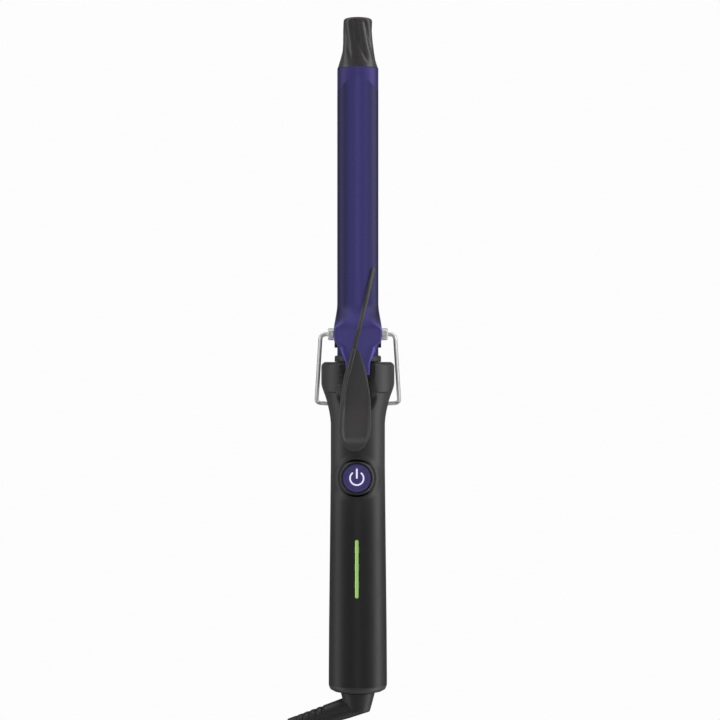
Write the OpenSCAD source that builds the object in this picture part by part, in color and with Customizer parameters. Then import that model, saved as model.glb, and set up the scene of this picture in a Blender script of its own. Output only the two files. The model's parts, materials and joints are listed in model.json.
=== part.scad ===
// Hair curling iron lying on its back, with its wire stand folded against the handle.
// Local frame of the iron: +Y runs from the cord end to the cool tip, +Z is the lever side,
// +X is the right side, and Y = 0 is the flat end of the handle.

/* [Barrel] */
// Outer diameter of the heated barrel
barrel_d = 19; // [17:0.5:21]
// Wall of the barrel tube
barrel_wall = 1; // [0.6:0.1:1.6]
// Length of barrel that shows, from the base ring to the cool tip
barrel_len = 132.7; // [110:1:170]
// Length of barrel held inside the handle
barrel_seat = 24; // [18:1:26]

/* [Cool tip] */
// Length of the cool tip
tip_len = 23.5; // [16:0.5:32]
// Diameter of the narrow end of the cool tip
tip_d = 13.4; // [10:0.2:16]
// Number of twisted flutes
tip_flutes = 9; // [6:1:12]

/* [Handle] */
// Length of the handle, from its end face to the rim of its collar
handle_len = 152.1; // [140:1:180]
// Diameter at the narrow part, behind the collar
handle_d = 25.06; // [24:0.2:28]
// Diameter near the cord end
handle_end_d = 26.96; // [25:0.2:30]
// Diameter of the collar
collar_d = 33.8; // [33:0.2:36]
// Length of the straight part of the collar
collar_len = 11; // [8:0.5:14]
// Wall of the handle shells
shell_wall = 2.1; // [1.6:0.1:2.6]
// Thickness of the end cap
cap_t = 3; // [2:0.5:4]

/* [Clamp] */
// Thickness of the clamp plate
plate_t = 0.65; // [0.5:0.05:0.9]
// Gap between the closed jaw and the barrel
jaw_gap = 0.2; // [0.15:0.05:0.5]
// Distance from the end of the jaw to the cool tip
jaw_setback = 4.4; // [2:0.2:12]
// Height of the pivot pin above the barrel axis
pivot_z = 12.5; // [12.4:0.1:13]
// Distance from the rim of the collar to the pivot pin
pivot_y = 12.7; // [12:0.1:15]
// Diameter of the pivot pin
pin_d = 3; // [2.4:0.1:3.2]

/* [Stand] */
// Diameter of the stand wire
wire_d = 1.9; // [1.6:0.1:2.4]
// Length of the stand legs, from the pivot to the crossbar
leg_len = 42.3; // [41:0.1:46]
// Angle of the folded legs below the barrel axis
fold_angle = 41; // [40:0.5:43]

/* [Controls] */
// Diameter of the power button
button_d = 13.2; // [11:0.2:14]
// Travel of the power button
button_travel = 0.8; // [0.4:0.1:1.2]
// Distance from the end face to the centre of the power button
button_y = 98.9; // [90:1:105]
// Length of the light bar
light_len = 27.3; // [16:0.5:34]
// Width of the light bar
light_w = 2; // [1.4:0.1:3]
// Distance from the end face to the middle of the light bar
light_y = 57.6; // [45:1:70]
// Sideways offset of the button and the light bar
face_x = -0.45; // [-1:0.05:1]

/* [Swivel and cord] */
// Diameter of the swivel neck
neck_d = 10; // [8:0.2:11]
// Sideways lean of the strain relief towards the cord end
lean = 18; // [10:1:30]
// Length of the strain relief
relief_len = 27; // [22:1:32]
// Diameter of the mains cord
cord_d = 5.8; // [5:0.1:6.5]

/* [Hidden] */
$fn = 64;

fit = 0.03;          // radial gap of a piece that is pressed or glued in its seat
run = 0.08;          // radial gap of a piece that turns in its seat
side_gap = 0.25;     // gap between faces that slide past each other
eps = 0.02;          // how far a cutter runs past the face that it opens

// Barrel and handle
barrel_r = barrel_d / 2;
barrel_in_r = barrel_r - barrel_wall;
ring_t = 3;
ring_r = barrel_r + 1.25;
barrel_y0 = handle_len - barrel_seat;
barrel_y1 = handle_len + ring_t + barrel_len;
total_len = barrel_y1 + tip_len;
handle_r = handle_d / 2;
handle_end_r = handle_end_d / 2;
collar_r = collar_d / 2;
collar_y0 = handle_len - collar_len;
rim_drop = 1.9;
flare_len = 17.2;
flare_y0 = collar_y0 - flare_len;
neck_y = flare_y0 - 22;
cavity_r = handle_r - shell_wall;
cavity_y1 = barrel_y0 - 2;
bush_r = barrel_r + 1.1;
back_flat_z = -(collar_r - 2.1);
channel_z = barrel_r + 0.7;

// Pivot, clamp and stand
pin_y = handle_len + pivot_y;
pin_r = pin_d / 2;
ear_x0 = barrel_r + 0.05;
ear_t = 0.5;
band_r = barrel_r + 1.3;
hump_r = ear_x0 + ear_t + 0.3 + plate_t;
ear_r = pin_r + 0.5;
squareness = 22;
stub_x0 = hump_r + 0.1;
stub_x1 = stub_x0 + 2.58;
stub_r = 2.75;
wire_r = wire_d / 2;
wire_in = 1.5;
jaw_r = barrel_r + jaw_gap + plate_t;
jaw_half = 68;
jaw_y1 = barrel_y1 - jaw_setback;
hump_top = pivot_z + 4.3;
hump_front = hump_top - 1.8;
skirt_z = 4;
tail_y = handle_len - 6;

// Controls
button_r = button_d / 2;
bezel_r = button_r + 0.65;
bezel_hole_r = bezel_r + 1.4;
board_z = 3;
board_t = 1.6;
board_y0 = 18;
board_y1 = 112;
board_w = 15;
switch_top = 8;
cap_top = handle_r + 0.75;
cap_bottom = cap_top - 3.2;

// Swivel, cord and plug
neck_r = neck_d / 2;
clip_y = cap_t + 4.4;
elbow_r = 8;
elbow_y = -6.15;
relief_t0 = 6.3;
relief_r0 = 4.8;
relief_r1 = 3.6;
cord_r = cord_d / 2;
relief_end = relief_t0 + relief_len;

// The lie of the iron: the end of the handle and the crossbar of the stand touch the floor
bar_y = pin_y - leg_len * cos(fold_angle);
bar_z = pivot_z - leg_len * sin(fold_angle);
lie_tilt = atan((-(bar_z - wire_r) - handle_end_r) / (bar_y - cap_t));
lift = handle_end_r * cos(lie_tilt) - cap_t * sin(lie_tilt);
elbow_low = elbow_y - relief_t0 * sin(lean) - (relief_r0 + 0.1) * cos(lean);
shift_y = -(total_len + elbow_low) / 2;

// Cord: the stretch from the strain relief to the hank, in the frame of the finished object.
// Its first two points continue the strain relief, and the others are chosen by hand.
hank_z = 0.8;
hank_x = -31;
hank_y = -254;
hank_run = 95;
fold_r = 17.4;
hank_r = fold_r + 1.5 * cord_d;
layers = 3;
hank_h = layers * cord_d;
cord_route = [
    [-44.7, -171.1, 11.9], [-49.8, -176.2, 10.1], [-53.1, -182.7, 7.9], [-54.2, -189.9, 5.6],
    [-54.2, -194, 4.7], [-54.2, -198, 4], [-54.2, -202, 3.75], [-54.2, -207, 3.7]
];
tail_route = [
    [-13.6, -296, 15.2], [-13.7, -290, 15.4], [-14.6, -283, 16.2], [-17, -276, 17.9], [-20.6, -269, 20.3],
    [-24.6, -262, 22.8], [-28, -255, 24.9], [-30.2, -248, 26.1], [-31, -241, 26.4], [-31, -236, 26.4]
];
plug_y0 = -236;
plug_len = 36;
plug_w = 35;
plug_t = 13.7;
plug_z = 26.4;
plug_pin_r = 2;
plug_pin_len = 19;
pin_root_r = 1.5;
plug_pin_gap = 19;
tie_y = hank_y;
tie_w = 12;
tie_t = 0.8;

// ---- Helpers ----

// Turns a shape built along +Z so that it runs along +Y from y
module along_y(y) {
    translate([0, y, 0]) rotate([-90, 0, 0]) children();
}

// A cylinder along Y between two stations
module rod_y(y0, y1, r, r2 = -1) {
    along_y(y0) cylinder(h = y1 - y0, r1 = r, r2 = r2 < 0 ? r : r2);
}

// A tube along Y between two stations
module pipe_y(y0, y1, r_out, r_in) {
    difference() {
        rod_y(y0, y1, r_out);
        rod_y(y0 - 1, y1 + 1, r_in);
    }
}

// A cylinder along X at the pivot height, between two places across the iron
module rod_x(x0, x1, r) {
    translate([x0, pin_y, pivot_z]) rotate([0, 90, 0]) cylinder(h = x1 - x0, r = r);
}

// A cylinder along Z
module rod_z(x, y, z0, z1, r) {
    translate([x, y, z0]) cylinder(h = z1 - z0, r = r);
}

// A box between two corners
module box(a, b) {
    translate(a) cube(b - a);
}

// Turns a shape built along +Z onto the axis of the strain relief
module along_relief(t) {
    translate([0, elbow_y, 0]) rotate([0, 0, 180 + lean]) rotate([0, 90, 0]) translate([0, 0, t]) children();
}

// Puts a piece of the iron where it lies on the floor
module lying() {
    translate([0, shift_y, lift]) rotate([lie_tilt, 0, 0]) children();
}

function unit(v) = v / norm(v);
function mix(a, b, t) = a + (b - a) * t;
function smooth(t) = t * t * (3 - 2 * t);
function heading(p, i) = unit(p[min(i + 1, len(p) - 1)] - p[max(i - 1, 0)]);
function ring_at(p, i, r, sides, ref) =
    let (t = heading(p, i), a = unit(cross(ref, t)), b = cross(t, a))
    [for (k = [0:sides - 1]) p[i] + r * (cos(360 * k / sides) * a + sin(360 * k / sides) * b)];

// A closed skin over rings that each have the same number of points. A ring round a thin
// sheet, out along one side and back along the other, is closed by a strip of small faces.
module skin(rings, sheet = false) {
    n = len(rings[0]);
    m = len(rings);
    points = [for (ring = rings) each ring];
    lid = sheet ? [for (k = [0:n / 2 - 2]) [k, k + 1, n - 2 - k, n - 1 - k]] : [[for (k = [0:n - 1]) k]];
    start = lid;
    end = [for (face = lid) [for (k = [len(face) - 1:-1:0]) (m - 1) * n + face[k]]];
    sides = [for (i = [0:m - 2], k = [0:n - 1])
        let (j = (k + 1) % n) each [[(i + 1) * n + k, (i + 1) * n + j, i * n + j],
            [(i + 1) * n + k, i * n + j, i * n + k]]];
    polyhedron(points = points, faces = concat(start, sides, end));
}

// A round tube that follows points
module sweep(p, r, sides, ref) {
    skin([for (i = [0:len(p) - 1]) ring_at(p, i, r, sides, ref)]);
}

// Linear interpolation in a table of rows whose first value falls along the iron
function row_at(rows, y, i = 0) =
    i >= len(rows) - 2 || y >= rows[i + 1][0]
        ? mix(rows[i], rows[i + 1], (rows[i][0] - y) / (rows[i][0] - rows[i + 1][0]))
        : row_at(rows, y, i + 1);

// ---- Handle ----

// Outline of the handle as radius and station
function handle_outline() = [
    [0, cap_t], [handle_end_r, cap_t], [handle_end_r, cap_t + 5],
    [mix(handle_end_r, handle_r, 0.5), mix(cap_t, neck_y, 0.58)], [handle_r, neck_y],
    [handle_r, flare_y0],
    [mix(handle_r, collar_r, 0.1), flare_y0 + flare_len * 0.25],
    [mix(handle_r, collar_r, 0.34), flare_y0 + flare_len * 0.52],
    [mix(handle_r, collar_r, 0.65), flare_y0 + flare_len * 0.76],
    [collar_r, collar_y0], [collar_r, handle_len - rim_drop],
    [collar_r - 1.3, handle_len], [0, handle_len]
];

module handle_form() {
    along_y(0) rotate_extrude() polygon(handle_outline());
}

// The two raised lobes on the front of the collar
lobe_x0 = 6.6;
lobe_x1 = collar_r * 0.9;
lobe_y0 = collar_y0 - 3;
lobe_round = 3;
module lobe_plan() {
    translate([lobe_x0, lobe_y0 + lobe_round]) square([lobe_x1 - lobe_x0, handle_len - 1 - lobe_y0 - lobe_round]);
    translate([lobe_x0 + lobe_round, lobe_y0]) square([lobe_x1 - lobe_x0 - 2 * lobe_round, lobe_round + 1]);
    translate([lobe_x0 + lobe_round, lobe_y0 + lobe_round]) circle(lobe_round);
    translate([lobe_x1 - lobe_round, lobe_y0 + lobe_round]) circle(lobe_round);
}

module lobes() {
    intersection() {
        rod_y(lobe_y0 - 1, handle_len - rim_drop, collar_r);
        for (side = [0, 1]) mirror([side, 0, 0]) translate([0, 0, 5]) linear_extrude(20) lobe_plan();
    }
}

// The channel that lets the tail of the clamp and the lever go down between the lobes
module channel() {
    translate([0, 0, channel_z]) linear_extrude(20) polygon([
        [lobe_x0, handle_len + 1], [lobe_x0, collar_y0 + 2], [lobe_x0 + 1, lobe_y0 - 2],
        [lobe_x0 + 1, flare_y0], [-lobe_x0 - 2.4, flare_y0], [-lobe_x0 - 2.2, lobe_y0 - 2],
        [-lobe_x0 - 1, collar_y0 + 4], [-lobe_x0, handle_len + 1]
    ]);
}

// A ramp that closes the low end of the channel against the handle
module channel_ramp() {
    intersection() {
        handle_form();
        rotate([90, 0, 90]) translate([0, 0, -12]) linear_extrude(24) polygon([
            [flare_y0 - 1, cavity_r + 0.4], [lobe_y0, cavity_r + 0.4],
            [lobe_y0, channel_z], [flare_y0 + 3, handle_r], [flare_y0 - 1, handle_r]
        ]);
    }
}

screw_ys = [22, 86];
boss_r = 2.3;
module bosses(front) {
    for (y = screw_ys) translate([0, 0, front ? 0 : -cavity_r - 0.5])
        for (x = [-cavity_r + 2.9, cavity_r - 2.9])
            translate([x, y, 0]) cylinder(h = front ? 5.4 : cavity_r + 0.5, r = boss_r);
}

module handle_front_shell() {
    color([0.13, 0.125, 0.13]) difference() {
        union() {
            difference() {
                union() {
                    handle_form();
                    lobes();
                }
                channel();
                rod_y(cap_t - 1, cavity_y1, cavity_r);
                rod_y(cavity_y1 - 1, handle_len + 1, bush_r + fit);
            }
            difference() {
                channel_ramp();
                rod_y(flare_y0 - 2, handle_len, bush_r + fit);
            }
            intersection() {
                bosses(true);
                rod_y(cap_t, cavity_y1, cavity_r + 0.5);
            }
        }
        box([-40, -1, -40], [40, handle_len + 2, 0]);
        rod_z(face_x, button_y, 0, 30, bezel_hole_r + fit);
        light_slot(light_w + 2 * fit, light_len + 2 * fit);
        for (y = screw_ys, x = [-cavity_r + 2.9, cavity_r - 2.9]) rod_z(x, y, -1, 4.6, 0.9 + fit);
    }
}

module handle_back_shell() {
    color([0.12, 0.115, 0.12]) difference() {
        union() {
            difference() {
                handle_form();
                rod_y(cap_t - 1, cavity_y1, cavity_r);
                rod_y(cavity_y1 - 1, handle_len + 1, bush_r + fit);
            }
            intersection() {
                bosses(false);
                rod_y(cap_t, cavity_y1, cavity_r + 0.5);
            }
        }
        box([-40, -1, 0], [40, handle_len + 2, 40]);
        box([-40, collar_y0 - 3, -40], [40, handle_len + 1, back_flat_z]);
        for (y = screw_ys, x = [-cavity_r + 2.9, cavity_r - 2.9]) {
            rod_z(x, y, -30, 1, 1.2 + fit);
            rod_z(x, y, -30, -5, 2.2);
        }
    }
}

module end_cap() {
    color([0.2, 0.195, 0.2]) difference() {
        union() {
            along_y(0) rotate_extrude() polygon([
                [0, 0], [handle_end_r - 2.6, 0], [handle_end_r - 0.9, 0.9],
                [handle_end_r - 0.15, cap_t - 0.8], [handle_end_r - 0.15, cap_t - fit], [0, cap_t - fit]
            ]);
            rod_y(cap_t - 0.5, cap_t + 3.4, cavity_r - fit);
        }
        rod_y(-1, cap_t + 5, neck_r + run);
    }
}

// Pan-head screws that hold the shells together
module shell_screws() {
    color("silver") for (y = screw_ys, x = [-cavity_r + 2.9, cavity_r - 2.9]) {
        rod_z(x, y, -5.2, 4, 0.9);
        difference() {
            rod_z(x, y, -6.6, -5.05, 1.9);
            translate([x - 0.25, y - 1.2, -7]) cube([0.5, 2.4, 1]);
            translate([x - 1.2, y - 0.25, -7]) cube([2.4, 0.5, 1]);
        }
    }
}

module base_ring() {
    color([0.24, 0.235, 0.24]) difference() {
        along_y(handle_len + fit) rotate_extrude() polygon([
            [barrel_r + fit, 0], [ring_r, 0], [ring_r, ring_t - 0.6],
            [ring_r - 0.6, ring_t - fit], [barrel_r + fit, ring_t - fit]
        ]);
        rod_y(handle_len - 1, handle_len + ring_t + 1, barrel_r + fit);
    }
}

module barrel_bush() {
    color("dimgray") difference() {
        union() {
            rod_y(cavity_y1 + 0.5, handle_len - fit, bush_r);
        }
        rod_y(barrel_y0, handle_len + 1, barrel_r + fit);
        rod_y(cavity_y1 - 1, barrel_y0 + 1, barrel_in_r);
    }
}

// ---- Barrel and heater ----

module barrel() {
    color([0.3, 0.26, 0.56]) pipe_y(barrel_y0 + fit, barrel_y1 - fit, barrel_r, barrel_in_r);
}

// Cross section of the fluted tip at a share t of its length
tip_sides = 54;
function tip_ring(t, y) =
    let (r = tip_d / 2 + (barrel_r - 0.1 - tip_d / 2) * pow(max(0, 1 - t / 0.64), 2)
            - (t > 0.9 ? 1.6 * pow((t - 0.9) / 0.1, 2) : 0),
        depth = 0.35 * smooth(min(1, 3 * t)) * (t > 0.9 ? 0.3 : 1))
    [for (k = [0:tip_sides - 1])
        let (a = 360 * k / tip_sides, rr = r - depth * (0.5 + 0.5 * cos(tip_flutes * (a + 70 * t))))
        [rr * cos(a), y, -rr * sin(a)]];

module cool_tip() {
    steps = 14;
    color([0.14, 0.13, 0.135]) difference() {
        union() {
            skin([for (i = [0:steps]) tip_ring(i / steps, barrel_y1 + tip_len * i / steps)]);
            rod_y(barrel_y1 - 7, barrel_y1 + 1, barrel_in_r - fit);
        }
        rod_y(barrel_y1 - 8, barrel_y1 + tip_len - 6, 3.4);
        rod_y(barrel_y1 - 8, barrel_y1 + 6, 6);
    }
}

module tip_plug() {
    color("gainsboro") difference() {
        union() {
            rod_y(barrel_y1 - 10, barrel_y1 - 7.2, barrel_in_r - fit);
            rod_y(barrel_y1 - 7.3, barrel_y1 + 5.6, 5.9);
        }
        rod_y(barrel_y1 - 12, barrel_y1 + 7, 1.5 + fit);
    }
}

module tip_screw() {
    color("silver") {
        rod_y(barrel_y1 - 9, barrel_y1 + 8.1, 1.5);
        difference() {
            rod_y(barrel_y1 + 8, barrel_y1 + 10, 2.9);
            box([-2, barrel_y1 + 9, -0.35], [2, barrel_y1 + 11, 0.35]);
        }
    }
}

heater_y0 = handle_len + 26;
heater_y1 = barrel_y1 - 16;
module heater_bars() {
    color("lightgray") for (side = [0, 1]) mirror([0, 0, side]) intersection() {
        rod_y(heater_y0, heater_y1, barrel_in_r - 0.55);
        box([-20, heater_y0 - 1, 1.9], [20, heater_y1 + 1, 20]);
    }
}

stones = 4;
stone_pitch = (heater_y1 - heater_y0 - 6) / stones;
module heater_stones() {
    color("slategray") for (i = [0:stones - 1])
        translate([-5.2, heater_y0 + 3 + i * stone_pitch + 1, -1.4]) cube([10.4, stone_pitch - 2, 2.8]);
}

module heater_insulation() {
    color("goldenrod") pipe_y(heater_y0 + 1, heater_y1 - 1, barrel_in_r - 0.1, barrel_in_r - 0.45);
}

// Two wires from the circuit board to the heater bars, with a crimp tab on each
module heater_leads() {
    color("crimson") for (side = [0, 1]) mirror([side, 0, 0]) {
        translate([2.4, 0, 0]) rod_y(board_y1 + 3, heater_y0 + 3, 0.9);
        box([1.6, heater_y0 + 0.2, -1.55], [3.4, heater_y0 + 2.9, 1.55]);
    }
}

module thermal_fuse() {
    color("silver") translate([0, 0, 5]) {
        rod_y(handle_len + 6, handle_len + 16, 1.6);
        rod_y(handle_len + 1, handle_len + 22, 0.45);
    }
}

// ---- Pivot ----

// Saddle round the underside of the barrel, with an ear on each side for the pin
module pivot_bracket() {
    band_y0 = pin_y - 6.1;
    band_y1 = pin_y + 1.6;
    color([0.17, 0.165, 0.17]) difference() {
        union() {
            intersection() {
                pipe_y(band_y0, band_y1, band_r, barrel_r + fit);
                box([-20, band_y0 - 1, -20], [20, band_y1 + 1, 0.5]);
            }
            for (side = [0, 1]) mirror([side, 0, 0]) {
                box([ear_x0, pin_y - 1.3, -2], [ear_x0 + ear_t, band_y1, pivot_z]);
                rod_x(ear_x0, ear_x0 + ear_t, ear_r);
            }
        }
        rod_x(-30, 30, pin_r + fit);
    }
}

module pivot_pin() {
    color("silver") rod_x(-stub_x0 - 1, stub_x0 + 1, pin_r);
}

// Bright stub that caps one end of the pin and takes one end of the stand wire
module stub() {
    difference() {
        rod_x(stub_x0, stub_x1, stub_r);
        rod_x(stub_x0 - 1, stub_x0 + 1.05, pin_r + fit);
        rod_x(stub_x0 - 1, stub_x1 + 1, wire_r + 0.05);
    }
}

module pivot_cap_left() {
    color("gainsboro") mirror([1, 0, 0]) stub();
}

module pivot_cap_right() {
    color("gainsboro") stub();
}

// ---- Clamp ----

// The clamp plate along the iron: station, half angle of the jaw's arc, share of the hump's
// arch, then the half width, skirt height, top height and squareness of that arch
hump_rows = [
    [pin_y + 14, jaw_half, 0, hump_r, skirt_z, hump_front, 5],
    [pin_y + 12.5, jaw_half, 0.05, hump_r, skirt_z, hump_front, 5],
    [pin_y + 11, jaw_half, 0.16, hump_r, skirt_z, hump_front, 5],
    [pin_y + 9, jaw_half, 0.36, hump_r, skirt_z, hump_front + 0.1, 5],
    [pin_y + 7, jaw_half, 0.6, hump_r, skirt_z, hump_front + 0.2, 5],
    [pin_y + 5, jaw_half, 0.82, hump_r, skirt_z, hump_front + 0.35, 8],
    [pin_y + 3.6, jaw_half, 0.94, hump_r, skirt_z, hump_front + 0.45, 12],
    [pin_y + 2.6, jaw_half, 1, hump_r, skirt_z, hump_front + 0.55, squareness],
    [pin_y - 3.2, jaw_half, 1, hump_r, skirt_z, hump_top - 0.7, squareness],
    [pin_y - 5.6, jaw_half, 1, hump_r - 2.05, skirt_z + 3.5, hump_top - 0.6, 5],
    [pin_y - 7.8, jaw_half, 1, hump_r - 2.95, skirt_z + 7, hump_top - 0.6, 4],
    [pin_y - 10, jaw_half, 1, hump_r - 3.95, hump_top - 3.2, hump_top - 0.6, 3],
    [pin_y - 12.8, jaw_half, 1, hump_r - 5.35, hump_top - 2.2, hump_top - 0.7, 2.5],
    [tail_y, jaw_half, 1, hump_r - 5.65, hump_top - 2.1, hump_top - 0.7, 2.5]
];

arch_half = 8;
function arch(row, inset) =
    let (hw = row[3] - inset, hz = row[5] - row[4] - inset, p = 2 / row[6], r = jaw_r - inset)
    [for (k = [-arch_half:arch_half])
        let (u = k / arch_half, s = sin(90 * u), c = cos(90 * u),
            jaw = [r * sin(row[1] * u), r * cos(row[1] * u)],
            hump = [hw * sign(s) * pow(abs(s), p), row[4] + hz * (abs(k) == arch_half ? 0 : pow(c, p))],
            at = mix(jaw, hump, row[2]))
        [at[0], row[0], at[1]]];

function reversed(v) = [for (i = [len(v) - 1:-1:0]) v[i]];
function plate_ring(row) = concat(arch(row, 0), reversed(arch(row, plate_t)));

// The rounded end of the jaw: each row spans less of the barrel
jaw_end = 6.6;
jaw_end_steps = 6;
function jaw_row(y, half) = [y, half, 0, jaw_r, 0, jaw_r, 2];
function jaw_rows() = concat(
    [for (i = [jaw_end_steps:-1:1])
        let (t = sin(90 * i / jaw_end_steps) * 0.99)
        jaw_row(jaw_y1 - jaw_end + jaw_end * t, asin(sin(jaw_half) * pow(1 - t, 0.6)))],
    [for (i = [0:4]) jaw_row(mix(jaw_y1 - jaw_end, pin_y + 15.5, i / 4), jaw_half)]
);

module clamp_plate() {
    color([0.22, 0.2, 0.4]) difference() {
        skin([for (row = reversed(concat(jaw_rows(), hump_rows))) plate_ring(row)], true);
        rod_x(-30, 30, pin_r + run);
        for (p = rivets) rod_z(p[0], p[1], hump_top - 6, hump_top + 5, rivet_r + fit);
    }
}

// Outline of the thumb lever along the iron: station, centre, half width, underside, top
lever_rows = [
    [pin_y - 7.2, -0.4, 0.4, hump_top - 0.8, hump_top + 0.1],
    [pin_y - 9.5, -0.6, 1.8, hump_top - 0.85, hump_top + 0.5],
    [pin_y - 12.5, -0.9, 3.2, hump_top - 0.9, hump_top + 0.95],
    [pin_y - 15.5, -1.05, 4.35, hump_top - 0.85, hump_top + 1.3],
    [pin_y - 21, -1.05, 5.6, hump_top - 0.2, hump_top + 2.1],
    [pin_y - 26.8, -1.06, 6.5, hump_top + 1.4, hump_top + 3.7],
    [pin_y - 32, -1.1, 7.05, hump_top + 3.4, hump_top + 5.8],
    [pin_y - 37.1, -1.2, 7.3, hump_top + 5.8, hump_top + 8.3],
    [pin_y - 41, -1.35, 7.4, hump_top + 7.6, hump_top + 10.1],
    [pin_y - 44.3, -1.5, 7.2, hump_top + 9.2, hump_top + 11.6],
    [pin_y - 47.3, -1.55, 6.5, hump_top + 10.6, hump_top + 12.8],
    [pin_y - 50, -1.5, 5, hump_top + 11.8, hump_top + 13.7],
    [pin_y - 52, -1.4, 3.2, hump_top + 12.8, hump_top + 14.2],
    [pin_y - 52.9, -1.4, 1, hump_top + 13.3, hump_top + 14]
];

lever_sides = 24;
function lever_ring(row) =
    let (zc = (row[3] + row[4]) / 2, hz = (row[4] - row[3]) / 2)
    [for (k = [0:lever_sides - 1])
        let (a = 360 * k / lever_sides, s = sin(a), c = cos(a))
        [row[1] + row[2] * sign(c) * pow(abs(c), 0.6), row[0], zc - hz * sign(s) * pow(abs(s), 0.6)]];

// Centre line of the raised spine, from the jaw to the left edge of the lever
spine = [
    [7.4, 30.9], [5.9, 24.7], [4.5, 18.6], [3, 12.5], [1.9, 8], [0.9, 3.7],
    [-0.2, -0.7], [-1.25, -5.1], [-2.5, -10.2], [-3.6, -15.2]
];
function plate_rows() = concat(jaw_rows(), hump_rows);
// Height of the outside of the plate above a place
function plate_z(x, y) =
    let (r = row_at(plate_rows(), y), u = min(0.98, abs(x) / r[3]), jaw = sqrt(jaw_r * jaw_r - x * x),
        hump = r[4] + (r[5] - r[4]) * pow(1 - pow(u, r[6]), 1 / r[6]))
    mix(jaw, hump, r[2]);
function spine_ring(i) =
    let (y = pin_y + spine[i][1], x = spine[i][0],
        w = 1.15 * (i == 0 ? 0.3 : 1), z = i > len(spine) - 3 ? hump_top - 0.3 : plate_z(x, y),
        z0 = z + (i > len(spine) - 3 ? 0.46 : 0), h = 0.81, sink = i > len(spine) - 3 ? 0 : 0.4)
    [[x - w, y, z0 + plate_z(x - w, y) - plate_z(x, y) - sink], [x - w * 0.6, y, z0 + h],
        [x + w * 0.6, y, z0 + h], [x + w, y, z0 + plate_z(x + w, y) - plate_z(x, y) - sink]];

module thumb_lever() {
    color([0.16, 0.155, 0.16]) difference() {
        union() {
            skin([for (row = reversed(lever_rows)) lever_ring(row)]);
            skin([for (i = [len(spine) - 1:-1:0]) spine_ring(i)]);
        }
        skin([for (row = reversed(plate_rows())) arch(row, -fit)]);
        for (p = rivets) rod_z(p[0], p[1], hump_top - 6, hump_top + 0.5, rivet_r + fit);
    }
}

rivet_r = 0.9;
rivets = [[-1.05, tail_y + 2.9], [-0.9, tail_y + 6.8]];
module lever_rivets() {
    color("silver") for (p = rivets) {
        rod_z(p[0], p[1], hump_top - 1.9, hump_top + 0.4, rivet_r);
        rod_z(p[0], p[1], hump_top - 1.95, hump_top - 1.45 - fit, 1.35);
    }
}

// Torsion spring round the pin, with one leg on the barrel side and one under the plate
spring_wire = 0.3;
spring_r = 2.05;
spring_turns = 9;
spring_x = 6;
spring_steps = 14;
function spring_points() = concat(
    [[-spring_x - 0.2, pin_y + 5.5, pivot_z - 1.9], [-spring_x - 0.1, pin_y + 3, pivot_z - 2]],
    [for (i = [0:spring_turns * spring_steps])
        let (a = -90 + 360 * i / spring_steps, t = i / (spring_turns * spring_steps))
        [mix(-spring_x, spring_x, t), pin_y - spring_r * cos(a), pivot_z + spring_r * sin(a)]],
    [[spring_x + 0.1, pin_y + 3, pivot_z - 2], [spring_x + 0.2, pin_y + 5.5, pivot_z - 1.9]]
);
module clamp_spring() {
    color("gray") sweep(spring_points(), spring_wire, 6, [1, 0.01, 0.02]);
}

// ---- Stand ----

// Bent wire: straight ends on the pivot axis, two legs and a slightly bowed crossbar
leg_x0 = 17;
leg_x1 = 19.4;
bend_in = 3;
bend_out = 2.2;
bow = 0.6;
function bend_points(a, b, c, size) =
    let (u = unit(a - b), v = unit(c - b))
    [for (t = [0:0.2:1]) let (p = b + u * size, q = b + v * size)
        (1 - t) * (1 - t) * p + 2 * t * (1 - t) * b + t * t * q];
function half_wire() =
    let (p0 = [stub_x1 + 0.1, 0], p1 = [leg_x0, 0], p2 = [leg_x1, leg_len], p3 = [0, leg_len + bow])
    concat([p0], bend_points(p0, p1, p2, bend_in), bend_points(p1, p2, p3, bend_out),
        [for (x = [12, 6]) [x, leg_len + bow * (1 - pow(x / leg_x1, 2))]]);
function wire_plan() = concat(
    half_wire(), [[0, leg_len + bow]], [for (p = reversed(half_wire())) [-p[0], p[1]]]
);
module stand_wire() {
    points = [for (p = wire_plan())
        [p[0], pin_y - p[1] * cos(fold_angle), pivot_z - p[1] * sin(fold_angle)]];
    color("silver") {
        sweep(points, wire_r, 16, [0, sin(fold_angle), -cos(fold_angle)]);
        for (side = [0, 1]) mirror([side, 0, 0]) rod_x(stub_x1 - wire_in, stub_x1 + 0.12, wire_r);
    }
}

// ---- Controls ----

module button_bezel() {
    color([0.2, 0.195, 0.2]) difference() {
        translate([face_x, button_y, 0]) rotate_extrude() polygon([
            [bezel_r - 1.4, cap_bottom - 1.9], [bezel_hole_r, cap_bottom - 1.9],
            [bezel_hole_r, handle_r - 0.9], [bezel_r, cap_top + 0.25],
            [button_r + side_gap, cap_top + 0.1], [button_r + side_gap, cap_bottom - 0.9],
            [bezel_r - 1.4, cap_bottom - 0.9]
        ]);
        box([-30, button_y - 30, -40], [30, button_y + 30, board_z + board_t + 1]);
    }
}

module button_cap() {
    color([0.24, 0.2, 0.46]) difference() {
        union() {
            translate([face_x, button_y, 0]) rotate_extrude() polygon([
                [0, cap_bottom], [button_r, cap_bottom], [button_r, cap_top - 0.5],
                [button_r - 0.9, cap_top], [0, cap_top]
            ]);
            rod_z(face_x, button_y, switch_top + button_travel + 0.1, cap_bottom + 0.5, 1.6);
        }
        translate([0, 0, cap_top - 0.3]) linear_extrude(2) symbol_plan(fit);
    }
}

// Standby symbol: an open ring with a bar in its gap
module symbol_plan(grow) {
    translate([face_x, button_y]) {
        difference() {
            circle(3.2 + 0.4 + grow);
            circle(3.2 - 0.4 - grow);
            polygon([[0, 0], [-4, 5.7], [4, 5.7]]);
        }
        translate([-0.45 - grow, -0.1 - grow]) square([0.9 + 2 * grow, 4.4 + 2 * grow]);
    }
}

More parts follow.
